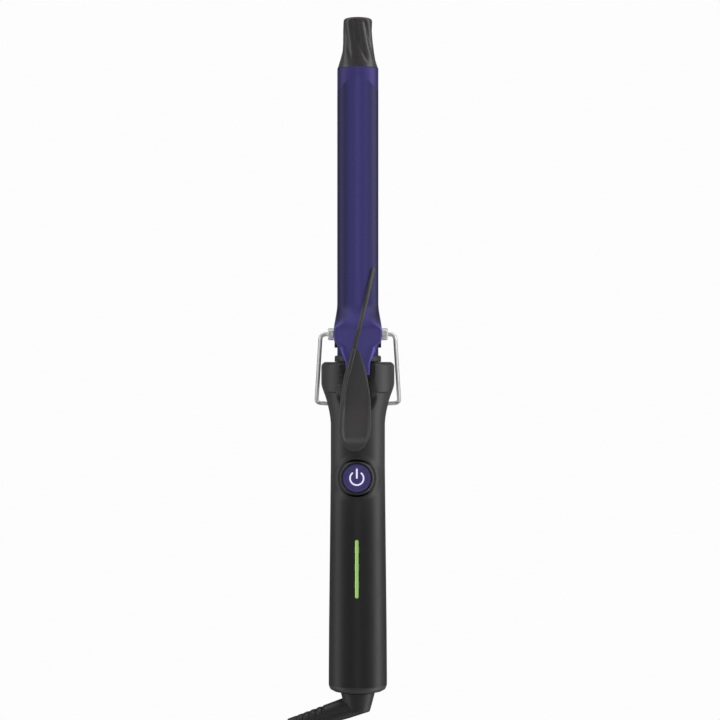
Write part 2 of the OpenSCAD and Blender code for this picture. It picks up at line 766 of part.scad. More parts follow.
module button_symbol() {
    color([0.87, 0.85, 0.95]) translate([0, 0, cap_top - 0.28]) linear_extrude(0.3) symbol_plan(0);
}

// Light return spring between the switch and the cap
module button_spring() {
    h = cap_bottom - switch_top - 0.1;
    turns = 2;
    steps = 14;
    color("gray") sweep([for (i = [0:turns * steps]) let (a = 360 * i / steps)
        [face_x + 2.6 * cos(a), button_y + 2.6 * sin(a), switch_top + 0.3 + (h - 0.5) * i / (turns * steps)]],
        0.18, 6, [0.01, 0.02, 1]);
}

module light_slot(w, l) {
    translate([face_x, light_y, 5]) {
        translate([-w / 2, -(l - w) / 2, 0]) cube([w, l - w, 20]);
        for (s = [-1, 1]) translate([0, s * (l - w) / 2, 0]) cylinder(h = 20, r = w / 2);
    }
}

module light_bar() {
    color([0.59, 0.78, 0.37]) intersection() {
        light_slot(light_w, light_len);
        difference() {
            along_y(light_y - 30) cylinder(h = 60, r = handle_end_r + 0.05);
            box([-20, light_y - 40, -30], [20, light_y + 40, board_z + board_t + 3]);
            rod_y(light_y - 31, light_y + 31, board_z);
        }
        light_top();
    }
}

// Follows the outside of the handle a little proud of it
module light_top() {
    along_y(0) rotate_extrude() polygon([for (p = handle_outline()) [p[0] > 0 ? p[0] + 0.12 : 0, p[1]]]);
}

module circuit_board() {
    color("darkgreen") difference() {
        box([-board_w / 2, board_y0, board_z], [board_w / 2, board_y1, board_z + board_t]);
        for (p = board_holes) rod_z(p[0], p[1], 0, 20, 1.1);
        for (y = screw_ys, x = [-cavity_r + 2.9, cavity_r - 2.9]) rod_z(x, y, 0, 20, boss_r + 0.3);
    }
}

board_holes = [[0, board_y0 + 4], [0, board_y1 - 4]];
module board_parts() {
    color("darkslategray") {
        box([-5, 34, board_z - 8], [5, 48, board_z - fit]);
        box([-4.5, 52, board_z - 6], [4.5, 62, board_z - fit]);
        box([-3, 66, board_z - 3], [3, 74, board_z - fit]);
        rod_z(0, 98, board_z - 7, board_z - fit, 3.6);
        box([-6, 76, board_z + board_t + fit], [6, 82, board_z + board_t + 1.4]);
    }
}

module button_switch() {
    color("black") {
        translate([face_x - 3, button_y - 3, board_z + board_t + fit]) cube([6, 6, 2.2]);
        rod_z(face_x, button_y, board_z + board_t + 2.2, switch_top, 1.7);
    }
}

module light_emitters() {
    color("ivory") for (i = [-1, 0, 1])
        translate([face_x - 1.2, light_y + i * light_len / 3.4 - 1.5, board_z + board_t + fit]) cube([2.4, 3, 1.2]);
}

module board_screws() {
    color("silver") for (p = board_holes) {
        rod_z(p[0], p[1], board_z - 2.5, board_z + board_t + 0.1, 1);
        rod_z(p[0], p[1], board_z + board_t + fit, board_z + board_t + 1.5, 1.9);
    }
}

// ---- Swivel ----

module swivel_elbow() {
    color([0.12, 0.12, 0.12]) difference() {
        union() {
            along_y(-9.7) rotate_extrude() polygon([
                [0, 0], [elbow_r - 3.1, 0], [elbow_r - 2.5, 0.5],
                [elbow_r - 0.1, 9], [elbow_r - 0.5, 9.4], [0, 9.4]
            ]);
            rod_y(-0.4, cap_t + 12, neck_r);
            along_relief(-4.3) cylinder(h = 4.3 + relief_t0, r = relief_r0 + 0.1);
        }
        along_relief(0) cylinder(h = relief_t0 + 1, r = cord_r + fit);
        rod_y(elbow_y, cap_t + 13, 2.9);
        pipe_y(clip_y - fit, clip_y + 1.2 + fit, neck_r + 1, neck_r - 0.7);
    }
}

module swivel_clip() {
    color("silver") difference() {
        pipe_y(clip_y, clip_y + 1.2, neck_r + 1.8, neck_r - 0.7 + fit);
        box([-2.4, clip_y - 1, 0], [2.4, clip_y + 3, 20]);
    }
}

module contact_rings() {
    color("gold") for (y = [clip_y + 2.2, clip_y + 4.8]) pipe_y(y, y + 1.6, neck_r + 0.5, neck_r + fit);
}

module contact_brushes() {
    color("peru") for (i = [0, 1]) let (y = clip_y + 2.2 + 2.6 * i, s = i * 2 - 1) {
        box([s > 0 ? neck_r + 0.6 : -neck_r - 1.1, y + 0.3, -3], [s > 0 ? neck_r + 1.1 : -neck_r - 0.6, y + 1.3, 5]);
    }
}

// Tapered strain relief with slots across it and a plain spine along its front and back
slots = 5;
module strain_relief() {
    color([0.1, 0.1, 0.1]) difference() {
        along_relief(relief_t0 + fit) cylinder(h = relief_len - fit, r1 = relief_r0, r2 = relief_r1);
        along_relief(relief_t0 - 1) cylinder(h = relief_len + 2, r = cord_r + fit);
        for (i = [0:slots - 1], s = [-1, 1])
            along_relief(relief_t0 + 9.1 + 3.1 * i) translate([-5, s > 0 ? cord_r + 0.25 : -cord_r - 3.25, 0])
                cube([10, 3, 1.3]);
    }
}

// ---- Cord, hank, tie and plug, which lie on the floor ----

// Place on the axis of the strain relief, in the frame of the finished object
function relief_point(t) =
    let (y = elbow_y - t * sin(lean))
    [-t * cos(lean), y * cos(lie_tilt) + shift_y, y * sin(lie_tilt) + lift];

module cord_tube() {
    color([0.09, 0.09, 0.09])
        sweep(concat([relief_point(relief_t0), relief_point(relief_end), relief_point(relief_end + 5)], cord_route),
            cord_r, 12, [0, 0, 1]);
}

module hank_plan(r, run) {
    for (s = [-1, 1]) translate([hank_x, hank_y + s * run / 2]) circle(r);
    translate([hank_x - r, hank_y - run / 2]) square([2 * r, run]);
}

module cord_hank() {
    color([0.1, 0.1, 0.1]) translate([0, 0, hank_z]) linear_extrude(hank_h) hank_plan(hank_r, hank_run);
}

module cord_tail() {
    color([0.09, 0.09, 0.09]) sweep(tail_route, cord_r, 12, [0, 0, 1]);
}

module hank_tie() {
    color([0.16, 0.16, 0.16]) difference() {
        box([hank_x - hank_r - tie_t, tie_y - tie_w / 2, 0],
            [hank_x + hank_r + tie_t, tie_y + tie_w / 2, hank_z + hank_h + tie_t]);
        box([hank_x - hank_r - 0.02, tie_y - tie_w, hank_z - 0.02],
            [hank_x + hank_r + 0.02, tie_y + tie_w, hank_z + hank_h + 0.02]);
    }
}

module plug_plan() {
    r = plug_t / 2;
    for (s = [-1, 1]) translate([s * (plug_w / 2 - r), 0]) circle(r);
    translate([-plug_w / 2 + r, -r]) square([plug_w - 2 * r, 2 * r]);
}

module plug_body() {
    color([0.08, 0.08, 0.08]) translate([hank_x, plug_y0, plug_z]) rotate([-90, 0, 0]) difference() {
        union() {
            translate([0, 0, 14]) linear_extrude(plug_len - 14) plug_plan();
            translate([0, 0, 7]) linear_extrude(7.5) scale([0.72, 1]) plug_plan();
            cylinder(h = 8, r1 = 4, r2 = 5.6);
        }
        translate([0, 0, -1]) cylinder(h = 7, r = cord_r + fit);
        for (s = [-1, 1]) translate([s * plug_pin_gap / 2, 0, plug_len - 8]) cylinder(h = 9, r = pin_root_r + fit);
    }
}

module plug_pins() {
    color("silver") for (s = [-1, 1]) translate([hank_x + s * plug_pin_gap / 2, plug_y0, plug_z])
        rotate([-90, 0, 0]) {
            translate([0, 0, plug_len]) cylinder(h = plug_pin_len, r = plug_pin_r);
            translate([0, 0, plug_len - 7.9]) cylinder(h = 8, r = pin_root_r);
        }
}

lying() handle_front_shell();
lying() handle_back_shell();
lying() end_cap();
lying() shell_screws();
lying() base_ring();
lying() barrel_bush();
lying() barrel();
lying() cool_tip();
lying() tip_plug();
lying() tip_screw();
lying() heater_bars();
lying() heater_stones();
lying() heater_insulation();
lying() heater_leads();
lying() thermal_fuse();
lying() pivot_bracket();
lying() pivot_pin();
lying() pivot_cap_left();
lying() pivot_cap_right();
lying() button_bezel();
lying() light_bar();
lying() circuit_board();
lying() board_parts();
lying() button_switch();
lying() light_emitters();
lying() board_screws();
lying() contact_brushes();
lying() clamp_plate();
lying() thumb_lever();
lying() lever_rivets();
lying() clamp_spring();
lying() stand_wire();
lying() button_cap();
lying() button_symbol();
lying() button_spring();
lying() swivel_elbow();
lying() swivel_clip();
lying() contact_rings();
lying() strain_relief();
cord_tube();
cord_hank();
cord_tail();
hank_tie();
plug_body();
plug_pins();
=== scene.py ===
"""The finished look of a curling iron that lies on its back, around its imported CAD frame.

Local places are in millimetres in the iron's own frame: X to the right, Y from the handle's end
face to the tip, Z towards the lever. lying() turns them into metres where the iron lies.
"""

import json
import math

import bmesh
import bpy
import numpy as np
from mathutils import Matrix, Vector


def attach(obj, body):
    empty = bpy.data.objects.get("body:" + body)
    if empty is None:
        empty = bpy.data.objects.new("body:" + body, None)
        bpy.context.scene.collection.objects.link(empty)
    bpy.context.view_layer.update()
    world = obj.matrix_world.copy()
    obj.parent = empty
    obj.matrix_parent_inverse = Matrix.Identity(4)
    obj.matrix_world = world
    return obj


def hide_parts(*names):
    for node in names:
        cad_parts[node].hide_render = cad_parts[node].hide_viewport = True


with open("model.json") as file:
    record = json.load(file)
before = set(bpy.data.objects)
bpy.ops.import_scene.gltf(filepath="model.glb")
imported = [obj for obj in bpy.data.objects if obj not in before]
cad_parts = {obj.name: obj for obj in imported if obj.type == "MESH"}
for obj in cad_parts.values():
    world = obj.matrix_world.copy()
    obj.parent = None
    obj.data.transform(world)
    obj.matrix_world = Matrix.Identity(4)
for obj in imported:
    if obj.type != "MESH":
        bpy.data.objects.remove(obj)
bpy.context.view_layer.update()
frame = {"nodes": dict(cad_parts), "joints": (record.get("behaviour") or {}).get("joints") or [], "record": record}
MM = 0.001

# ---- Where the iron lies, from the axes of its own joints ----

JOINTS = {j["name"]: j for j in frame["joints"]}
AXIS = Vector(JOINTS["cord_swivel"]["axis"]).normalized()
ORIGIN = Vector(JOINTS["cord_swivel"]["pos_m"])
RIGHT = Vector((1, 0, 0))
FRONT = RIGHT.cross(AXIS).normalized()
LYING = Matrix.Translation(ORIGIN) @ Matrix((RIGHT, AXIS, FRONT)).transposed().to_4x4() @ Matrix.Scale(MM, 4)
LEVEL = Matrix.Scale(MM, 4)


def lying(x, y, z):
    """A local place in millimetres, in metres where the iron lies."""
    return LYING @ Vector((x, y, z))


def local(point):
    """A place in metres, in the iron's own frame in millimetres."""
    return LYING.inverted() @ Vector(point)


def highest(node):
    """The highest corner of a CAD node in the iron's own frame."""
    own = [local(v.co) for v in frame["nodes"][node].data.vertices]
    return Vector([max(p[i] for p in own) for i in range(3)])


# ---- Sizes, in millimetres ----

BARREL_R, BARREL_END = highest("barrel").xy
RING_R = highest("base_ring").x
PIN = local(JOINTS["clamp_hinge"]["pos_m"])
CAVITY_R = 10.4
FACE_X = -0.45
BUTTON_Y = 98.9
BUTTON_R = 6.6
CAP_TOP = 13.28
LIGHT_Y = 57.2
LIGHT_LEN = 26.4
LIGHT_W = 1.5
JAW_R = 10.35
PLATE_T = 0.65
JAW_HALF = 68.0
LEAN = 18.0
ELBOW_Y = -6.15
CORD_R = 2.9
HUMP_TOP = 16.8


# ---- Camera, light and floor ----

VIEW_DISTANCE = 1193.0
VIEW_X = 1.0
VIEW_Y = 153.0
VIEW_WIDTH = 332.9
SURROUND = 0.14
TOP_GLOW = 0.06
TOP_STRIP = 0.8
# Which way each bright band lies, as X and Y, and its strength
SIDE_BANDS = ((1, 0, 2.15), (-1, 0, 1.2), (0, 1, 1.3), (0, -1, 0.5))
FLOOR_HALF = 3.0


def linked(name, data):
    """A new object in the scene."""
    obj = bpy.data.objects.new(name, data)
    bpy.context.scene.collection.objects.link(obj)
    return obj


def make_camera():
    """A long lens straight above the iron, square to its axis."""
    data = bpy.data.cameras.new("camera")
    data.sensor_width = 36
    data.lens = 36 * VIEW_DISTANCE / VIEW_WIDTH
    data.clip_start, data.clip_end = 0.05, 20
    camera = linked("camera", data)
    turn = Matrix((RIGHT, AXIS, FRONT)).transposed().to_4x4()
    camera.matrix_world = Matrix.Translation(lying(VIEW_X, VIEW_Y, VIEW_DISTANCE)) @ turn
    bpy.context.scene.camera = camera


def make_studio():
    """A dim surround with a bright band on each side and a narrow strip above, as round a light tent."""
    world = bpy.data.worlds.new("studio")
    n = Nodes("studio", world)
    way = n.add("ShaderNodeTexCoord")["Generated"]
    x, y, z = (n.part(way, axis) for axis in "XYZ")
    total = Socket(n, n.add("ShaderNodeValue").node.outputs[0])
    total.out.default_value = SURROUND
    level = n.step(z, -0.3, -0.18) * n.step(-1 * z, -0.32, -0.2)
    for across, along, strength in SIDE_BANDS:
        total = total + n.step(x * across + y * along, 0.5, 0.8) * level * strength
    total = total + n.step(z, 0.2, 0.75) * TOP_GLOW
    total = total + n.step(z, 0.9, 0.95) * n.step(-1 * (x + 0.02).absolute(), -0.17, -0.07) * TOP_STRIP
    background = n.add("ShaderNodeBackground", Color=n.grey(total), Strength=1.0)
    out = n.tree.nodes.new("ShaderNodeOutputWorld")
    n.tree.links.new(background["Background"].out, out.inputs["Surface"])
    bpy.context.scene.world = world
    bpy.context.scene.view_settings.view_transform = "Standard"


def make_floor():
    """A white sheet under the iron that the camera sees but the iron doesn't mirror."""
    mesh = bpy.data.meshes.new("floor")
    s = FLOOR_HALF
    mesh.from_pydata([(-s, -s, 0), (s, -s, 0), (s, s, 0), (-s, s, 0)], [], [(0, 1, 2, 3)])
    floor = linked("floor", mesh)
    n = Nodes("floor_paper")
    paper = n.surface(
        (0, 0, 0), roughness=1.0, glow=(0.98, 0.98, 0.98), Emission_Strength=1.0, Specular_IOR_Level=0.0
    )
    mesh.materials.append(paper)
    floor.visible_glossy = floor.visible_diffuse = floor.visible_shadow = False


# ---- Shader maths ----


class Socket:
    """A node's output, with the maths that the materials here use."""

    def __init__(self, nodes, out):
        self.nodes, self.out = nodes, out

    def maths(self, operation, **other):
        return self.nodes.add("ShaderNodeMath", {"operation": operation}, i0=self, **other)[0]

    def __add__(self, other):
        return self.maths("ADD", i1=other)

    def __mul__(self, other):
        return self.maths("MULTIPLY", i1=other)

    __rmul__ = __mul__

    def absolute(self):
        return self.maths("ABSOLUTE")

    def sine(self):
        return self.maths("SINE")


class Made:
    """A node that was added; its outputs are read by name or place."""

    def __init__(self, nodes, node):
        self.nodes, self.node = nodes, node

    def __getitem__(self, key):
        return Socket(self.nodes, self.node.outputs[key])


class Nodes:
    """The node tree of a new material, or of the owner given."""

    def __init__(self, name, owner=None):
        self.owner = owner or bpy.data.materials.new(name)
        self.owner.use_nodes = True
        self.tree = self.owner.node_tree
        self.tree.nodes.clear()

    def add(self, kind, settings=None, **sockets):
        """Adds a node: settings first, then its sockets by name (spaces as _), or by place (i0)."""
        node = self.tree.nodes.new(kind)
        for key, value in (settings or {}).items():
            setattr(node, key, value)
        for key, value in sockets.items():
            place = int(key[1:]) if key[0] == "i" and key[1:].isdigit() else key.replace("_", " ")
            target = node.inputs[place]
            if isinstance(value, Socket):
                self.tree.links.new(value.out, target)
            else:
                target.default_value = value
        return Made(self, node)

    def coords(self, scale=None):
        """Object coordinates, scaled if asked."""
        out = self.add("ShaderNodeTexCoord")["Object"]
        return self.add("ShaderNodeMapping", Vector=out, Scale=scale)["Vector"] if scale else out

    def part(self, vector, axis):
        return self.add("ShaderNodeSeparateXYZ", Vector=vector)[axis]

    def level(self, value, low, high):
        """Spreads a 0 to 1 value from low to high."""
        return value * (high - low) + low

    def blend(self, factor, a, b):
        """Mixes two colours."""
        full = [c if isinstance(c, Socket) else (*c, 1) for c in (a, b)]
        return self.add(
            "ShaderNodeMix", {"data_type": "RGBA"}, Factor=factor, i6=full[0], i7=full[1]
        )[2]

    def step(self, value, low, high):
        """A smooth step from 0 at low to 1 at high."""
        return self.add(
            "ShaderNodeMapRange", {"interpolation_type": "SMOOTHSTEP"}, Value=value, From_Min=low, From_Max=high
        )["Result"]

    def grey(self, value):
        return self.add("ShaderNodeCombineColor", Red=value, Green=value, Blue=value)["Color"]

    def noise(self, scale, detail=2, vector=None):
        return self.add("ShaderNodeTexNoise", Vector=vector or self.coords(), Scale=scale, Detail=detail)["Fac"]

    def bump(self, height, strength, distance):
        return self.add("ShaderNodeBump", Height=height, Strength=strength, Distance=distance)["Normal"]

    def surface(self, colour, roughness=0.5, metallic=0.0, normal=None, coat=None, glow=None, **constants):
        """Ends the tree in a Principled surface."""
        full = colour if isinstance(colour, Socket) else (*colour, 1)
        sockets = {"Base_Color": full, "Roughness": roughness, "Metallic": metallic}
        if normal:
            sockets["Normal"] = normal
        if coat is not None:
            sockets["Coat_Weight"] = coat
        if glow is not None:
            sockets["Emission_Color"] = glow if isinstance(glow, Socket) else (*glow, 1)
        shader = self.add("ShaderNodeBsdfPrincipled", **sockets, **constants)["BSDF"]
        out = self.tree.nodes.new("ShaderNodeOutputMaterial")
        self.tree.links.new(shader.out, out.inputs["Surface"])
        return self.owner


# ---- Shapes ----


def smoothstep(low, high, value):
    t = np.clip((np.asarray(value, float) - low) / (high - low), 0, 1)
    return t * t * (3 - 2 * t)


def through(points, count):
    """A smooth curve through points, as count points, with even steps in the points' own order."""
    p = np.array(points, float)
    ends = np.vstack([2 * p[0] - p[1], p, 2 * p[-1] - p[-2]])
    made = []
    for s in np.linspace(0, len(p) - 1 - 1e-9, count):
        i, t = int(s), s - int(s)
        a, b, c, d = ends[i : i + 4]
        made.append(
            0.5 * (2 * b + (c - a) * t + (2 * a - 5 * b + 4 * c - d) * t * t + (3 * b - a - 3 * c + d) * t**3)
        )
    return np.array(made)


def evenly(points, step):
    """The same path with points a fixed step apart."""
    p = np.array(points, float)
    along = np.concatenate([[0], np.cumsum(np.linalg.norm(np.diff(p, axis=0), axis=1))])
    at = np.linspace(0, along[-1], max(2, int(along[-1] / step) + 1))
    return np.stack([np.interp(at, along, p[:, k]) for k in range(3)], axis=1)


def finish_mesh(name, verts, faces, body, stands_for, material, at=LYING, sharp=35, slot=None):
    """A piece from plain points in millimetres: outward normals, smooth shading, its body and its finish."""
    mesh = bpy.data.meshes.new(name)
    mesh.from_pydata([tuple(at @ Vector(v)) for v in verts], [], faces)
    return finish_object(name, mesh, body, stands_for, material, sharp)


def face_outward(mesh, merge=False):
    bm = bmesh.new()
    bm.from_mesh(mesh)
    if merge:
        bmesh.ops.remove_doubles(bm, verts=bm.verts, dist=1e-7)
    bmesh.ops.recalc_face_normals(bm, faces=bm.faces)
    bm.to_mesh(mesh)
    bm.free()


def shade(mesh, sharp):
    """Smooth shading, with edges sharper than an angle in degrees left crisp."""
    mesh.shade_smooth()
    mesh.set_sharp_from_angle(angle=math.radians(sharp))


def evaluated(obj):
    """The mesh that an object's modifiers make of it."""
    bpy.context.view_layer.update()
    return bpy.data.meshes.new_from_object(obj.evaluated_get(bpy.context.evaluated_depsgraph_get()))


def finish_object(name, mesh, body, stands_for, material, sharp=35):
    face_outward(mesh, merge=True)
    shade(mesh, sharp)
    obj = linked(name, mesh)
    mesh.materials.clear()
    mesh.materials.append(material)
    if body:
        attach(obj, body)
        if stands_for:
            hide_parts(*stands_for)
    return obj


SLOT_OF = {s["node"]: s["material_slot"] for s in frame["record"]["subparts"]}


def ring_faces(rings, around, sheet=False, ends=True, closed=False):
    """Faces between rings of equal size. The ends get lids, or the last ring joins the first."""
    faces = []
    for i in range(rings - 1):
        for k in range(around):
            j = (k + 1) % around
            faces.append((i * around + k, i * around + j, (i + 1) * around + j, (i + 1) * around + k))
    last = (rings - 1) * around
    if closed:
        return faces + [(last + k, last + (k + 1) % around, (k + 1) % around, k) for k in range(around)]
    if ends and sheet:
        for k in range(around // 2 - 1):
            lid = (k, k + 1, around - 2 - k, around - 1 - k)
            faces += [lid, tuple(last + v for v in reversed(lid))]
    elif ends:
        faces += [tuple(range(around)), tuple(last + k for k in reversed(range(around)))]
    return faces


def loft(name, rings, body, stands_for, material, sheet=False, closed=False, **more):
    rings = np.array(rings, float)
    faces = ring_faces(*rings.shape[:2], sheet=sheet, closed=closed)
    return finish_mesh(name, rings.reshape(-1, 3), faces, body, stands_for, material, **more)


def gather(shapes):
    """The points and faces of several lofted shapes as one mesh's."""
    verts, faces = [], []
    for rings in map(np.array, shapes):
        faces += [tuple(len(verts) + k for k in f) for f in ring_faces(*rings.shape[:2])]
        verts += [tuple(p) for p in rings.reshape(-1, 3)]
    return verts, faces


def lathe_rings(profile, turns, centre=(0, 0), axis="y"):
    """Rings of a turned shape. profile is (radius, station) pairs; the axis runs along Y, X or Z."""
    a = np.linspace(0, 2 * math.pi, turns, endpoint=False)
    rings = []
    for r, s in profile:
        u, v = centre[0] + r * np.cos(a), centre[1] + r * np.sin(a)
        w = np.full(turns, float(s))
        order = {"y": (u, w, v), "x": (w, u, v), "z": (u, v, w)}[axis]
        rings.append(np.stack(order, axis=1))
    return rings


def lathe(name, profile, body, stands_for, material, turns=96, centre=(0, 0), axis="y", closed=False, **more):
    """A turned piece. A closed profile comes back to its start, as a tube's does."""
    rings = lathe_rings(profile, turns, centre, axis)
    return loft(name, rings, body, stands_for, material, closed=closed, **more)


def table(rows, y, column=1):
    """A column of rows, read off at a place in their first column."""
    rows = sorted(rows)
    return float(np.interp(y, [r[0] for r in rows], [r[column] for r in rows]))


def tube_profile(y0, y1, r_out, r_in, edge=0.2):
    return [
        (r_in, y0 + edge), (r_in + edge, y0), (r_out - edge, y0), (r_out, y0 + edge),
        (r_out, y1 - edge), (r_out - edge, y1), (r_in + edge, y1), (r_in, y1 - edge),
    ]


def sweep_rings(path, radius, around):
    """Round rings along a path, whose side direction turns as little as possible."""
    p = np.array(path, float)
    t = np.gradient(p, axis=0)
    t /= np.linalg.norm(t, axis=1)[:, None]
    side = np.cross((0, 0, 1), t[0])
    sides = []
    for d in t:
        side = side - d * np.dot(side, d)
        side /= np.linalg.norm(side)
        sides.append(side)
    side = np.array(sides)
    up = np.cross(t, side)
    a = np.linspace(0, 2 * math.pi, around, endpoint=False)[None, :, None]
    return p[:, None] + radius * (np.cos(a) * side[:, None] + np.sin(a) * up[:, None])


def cut(target, cutters):
    """Takes cutters away from a piece's mesh, and removes them."""
    for cutter in cutters:
        made = target.modifiers.new("cut", "BOOLEAN")
        made.operation, made.solver, made.object = "DIFFERENCE", "EXACT", cutter
    mesh = evaluated(target)
    target.modifiers.clear()
    target.data = mesh
    for cutter in cutters:
        bpy.data.objects.remove(cutter)
    shade(mesh, 35)


def cutter(name, rings):
    rings = np.array(rings, float)
    mesh = bpy.data.meshes.new(name)
    mesh.from_pydata([tuple(LYING @ Vector(v)) for v in rings.reshape(-1, 3)], [], ring_faces(*rings.shape[:2]))
    face_outward(mesh)
    return linked(name, mesh)


# ---- Cord ----

# The route from the strain relief to the hank, and from the hank to the plug, in millimetres on the floor
RELIEF_DIRECTION = Vector((-math.cos(math.radians(LEAN)), -math.sin(math.radians(LEAN)), 0))
RELIEF_END = 33.3
CORD_ROUTE = [
    (-44.7, -171.1, 11.9), (-49.8, -176.2, 10.1), (-53.1, -182.7, 7.9), (-54.2, -189.9, 5.6),
    (-54.2, -194, 4.7), (-54.2, -198, 4), (-54.2, -202, 3.75),
]
TAIL_ROUTE = [
    (-13.6, -296, 15.2), (-13.7, -290, 15.4), (-14.6, -283, 16.2), (-17, -276, 17.9), (-20.6, -269, 20.3),
    (-24.6, -262, 22.8), (-28, -255, 24.9), (-30.2, -248, 26.1), (-31, -241, 26.4), (-31, -236, 26.4),
]
HANK_X, HANK_Y, HANK_RUN = -31.0, -254.0, 95.0
FOLD_R = 17.4


def relief_place(t):
    """A place on the strain relief's axis, in millimetres from the swivel's middle, where the iron lies."""
    return lying(*(Vector((0, ELBOW_Y, 0)) + RELIEF_DIRECTION * t)) / MM


# The strands of the hank as (radius of the fold, height of the centre), one a turn
STRANDS = [(23.2, 3.7), (17.4, 3.7), (17.4, 9.5), (23.2, 9.5), (17.4, 15.3)]
CORD_D = 2 * CORD_R


def crossing(turn, y):
    """Radius and height of a strand on the right run, where it moves to the next strand's place."""
    r, z = STRANDS[turn]
    f = float(smoothstep(HANK_Y + 8, HANK_Y + 46, y)) * math.pi / 2
    s, c = math.sin(f), math.cos(f)
    third = (FOLD_R + CORD_D * s, 3.7 + CORD_D * (s + c))
    if turn == 0:
        return FOLD_R + CORD_D * c, z
    if turn == 1:
        return r, z + CORD_D * s
    if turn == 2:
        return third
    climb = float(smoothstep(HANK_Y - 34, HANK_Y, y)) * math.pi / 2
    if f == 0:
        return FOLD_R + CORD_D * math.cos(climb), z + CORD_D * math.sin(climb)
    reach, lean = CORD_D * (1 + 0.414 * f * 2 / math.pi), f / 2
    return third[0] - reach * math.sin(lean), third[1] + reach * math.cos(lean)


def hank_path():
    """Down the left run, round the far fold, up the right run and back over the near fold, turn by turn."""
    low, high = HANK_Y - HANK_RUN / 2, HANK_Y + HANK_RUN / 2
    path = []
    for turn, (r, z) in enumerate(STRANDS):
        path += [(HANK_X - r, y, z) for y in np.linspace(high, low, 40, endpoint=False)]
        path += [
            (HANK_X - r * math.cos(a), low - r * math.sin(a), z)
            for a in np.linspace(0, math.pi, 28, endpoint=False)
        ]
        if turn == len(STRANDS) - 1:
            return path
        for y in np.linspace(low, high, 48, endpoint=False):
            across, up = crossing(turn, y)
            path.append((HANK_X + across, y, up))
        r, z = STRANDS[turn + 1]
        path += [
            (HANK_X + r * math.cos(a), high + r * math.sin(a), z)
            for a in np.linspace(0, math.pi, 28, endpoint=False)
        ]


def cord_points():
    start = [tuple(relief_place(t)) for t in (RELIEF_END - 1, RELIEF_END + 2, RELIEF_END + 5, RELIEF_END + 7)]
    first = through(start + CORD_ROUTE, 60)[:-1]
    last = through([(HANK_X + FOLD_R, -301.4, 15.3)] + TAIL_ROUTE, 60)
    return evenly(np.vstack([first, hank_path(), last]), 1.9)


def make_cord(material):
    data = bpy.data.curves.new("mains_cord", "CURVE")
    data.dimensions = "3D"
    points = cord_points() * MM
    spline = data.splines.new("POLY")
    spline.points.add(len(points) - 1)
    for place, point in zip(points, spline.points):
        point.co = (*place, 1)
    data.bevel_depth = CORD_R * MM
    data.bevel_resolution = 5
    data.use_fill_caps = True
    cord = linked("mains_cord", data)
    data.materials.append(material)
    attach(cord, "swivel")
    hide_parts("cord_tube", "cord_hank", "cord_tail")
    return cord, points


# ---- Materials ----


def plastic(name, colour, roughness, grain=2200, bump=0.05, coat=None, spread=0.06, patch=90):
    """A moulded plastic: fine grain, and a slow change of gloss over the surface."""
    n = Nodes(name)
    fine = n.noise(grain, 3)
    slow = n.noise(patch, 3)
    shade = n.blend(slow, [c * 0.88 for c in colour], [c * 1.12 for c in colour])
    rough = n.level(slow, roughness - spread, roughness + spread)
    return n.surface(shade, rough, normal=n.bump(fine, bump, 0.0001), coat=coat)


def metal(name, colour, roughness, grain=(60, 1200, 60), bump=0.03, spread=0.05, metallic=1.0):
    """A drawn or turned metal: fine lines along one way, and a faint cloud in its gloss."""
    n = Nodes(name)
    lines = n.noise(1.0, 4, n.coords(scale=grain))
    cloud = n.noise(120, 2)
    rough = n.level(cloud, max(0.03, roughness - spread), roughness + spread)
    shade = n.blend(lines, [c * 0.93 for c in colour], [min(1, c * 1.05) for c in colour])
    return n.surface(shade, rough, metallic=metallic, normal=n.bump(lines, bump, 0.00005))


def handle_material():
    """The handle's satin plastic, a little paler round the collar as painted light: the base colour ramps up from Y 68
    to 116 mm, where the light falls brighter.
    """
    n = Nodes("handle_plastic")
    fine, slow = n.noise(2200, 3), n.noise(90, 3)
    # Painted light: this mask lifts the colour towards the collar, where the light falls brighter.
    collar = n.step(n.part(n.coords(), "Y"), *(lying(0, y, 0).y for y in (68, 116)))
    low = n.blend(slow, (0.022, 0.021, 0.022), (0.026, 0.025, 0.026))
    high = n.blend(slow, (0.053, 0.0515, 0.0525), (0.059, 0.057, 0.058))
    return n.surface(n.blend(collar, low, high), n.level(slow, 0.38, 0.48), normal=n.bump(fine, 0.05, 0.0001))


def violet_coat_painted_shade(name, colour, roughness, metallic, radius, edge, starts):
    """A baked coat with a fine metallic fleck, and painted shade: the colour darkens by the factor edge towards the
    sides, beyond a station.
    """
    n = Nodes(name)
    fleck = n.noise(9000, 2)
    slow = n.noise(40, 2)
    shade = n.blend(fleck, [c * 0.88 for c in colour], [c * 1.12 for c in colour])
    # Painted shade: the sides of the round plate turn darker from the station on, standing in for their shading.
    side = n.step(n.part(n.coords(), "X").absolute(), radius * 0.3, radius * 0.66)
    side = side * n.step(n.part(n.coords(), "Y"), *(lying(0, y, 0).y for y in (starts, starts + 8)))
    dark = n.blend(fleck, [c * 0.9 * edge for c in colour], [c * edge for c in colour])
    rough = n.level(slow, roughness - 0.03, roughness + 0.03)
    return n.surface(n.blend(side, shade, dark), rough, metallic=metallic, normal=n.bump(fleck, 0.02, 0.00005))


def woven(name, light, dark):
    """A narrow woven tape."""
    n = Nodes(name)
    weft = n.part(n.coords(scale=(2400, 2400, 2400)), "Y").sine()
    warp = n.part(n.coords(scale=(2400, 2400, 2400)), "X").sine()
    thread = n.level(weft * warp, 0.5, 1.0)
    return n.surface(n.blend(thread, dark, light), 0.9, normal=n.bump(thread, 0.5, 0.0002))


def board_material():
    """Green board with paler tracks in a loose grid."""
    n = Nodes("board_mask")
    grid = n.add("ShaderNodeTexBrick", Vector=n.coords(scale=(220, 220, 220)), Scale=1.0, Mortar_Size=0.04)["Fac"]
    tone = n.blend(n.noise(300), (0.01, 0.09, 0.03), (0.015, 0.12, 0.04))
    return n.surface(n.blend(grid, tone, (0.05, 0.22, 0.09)), 0.35, normal=n.bump(grid, 0.3, 0.0001))


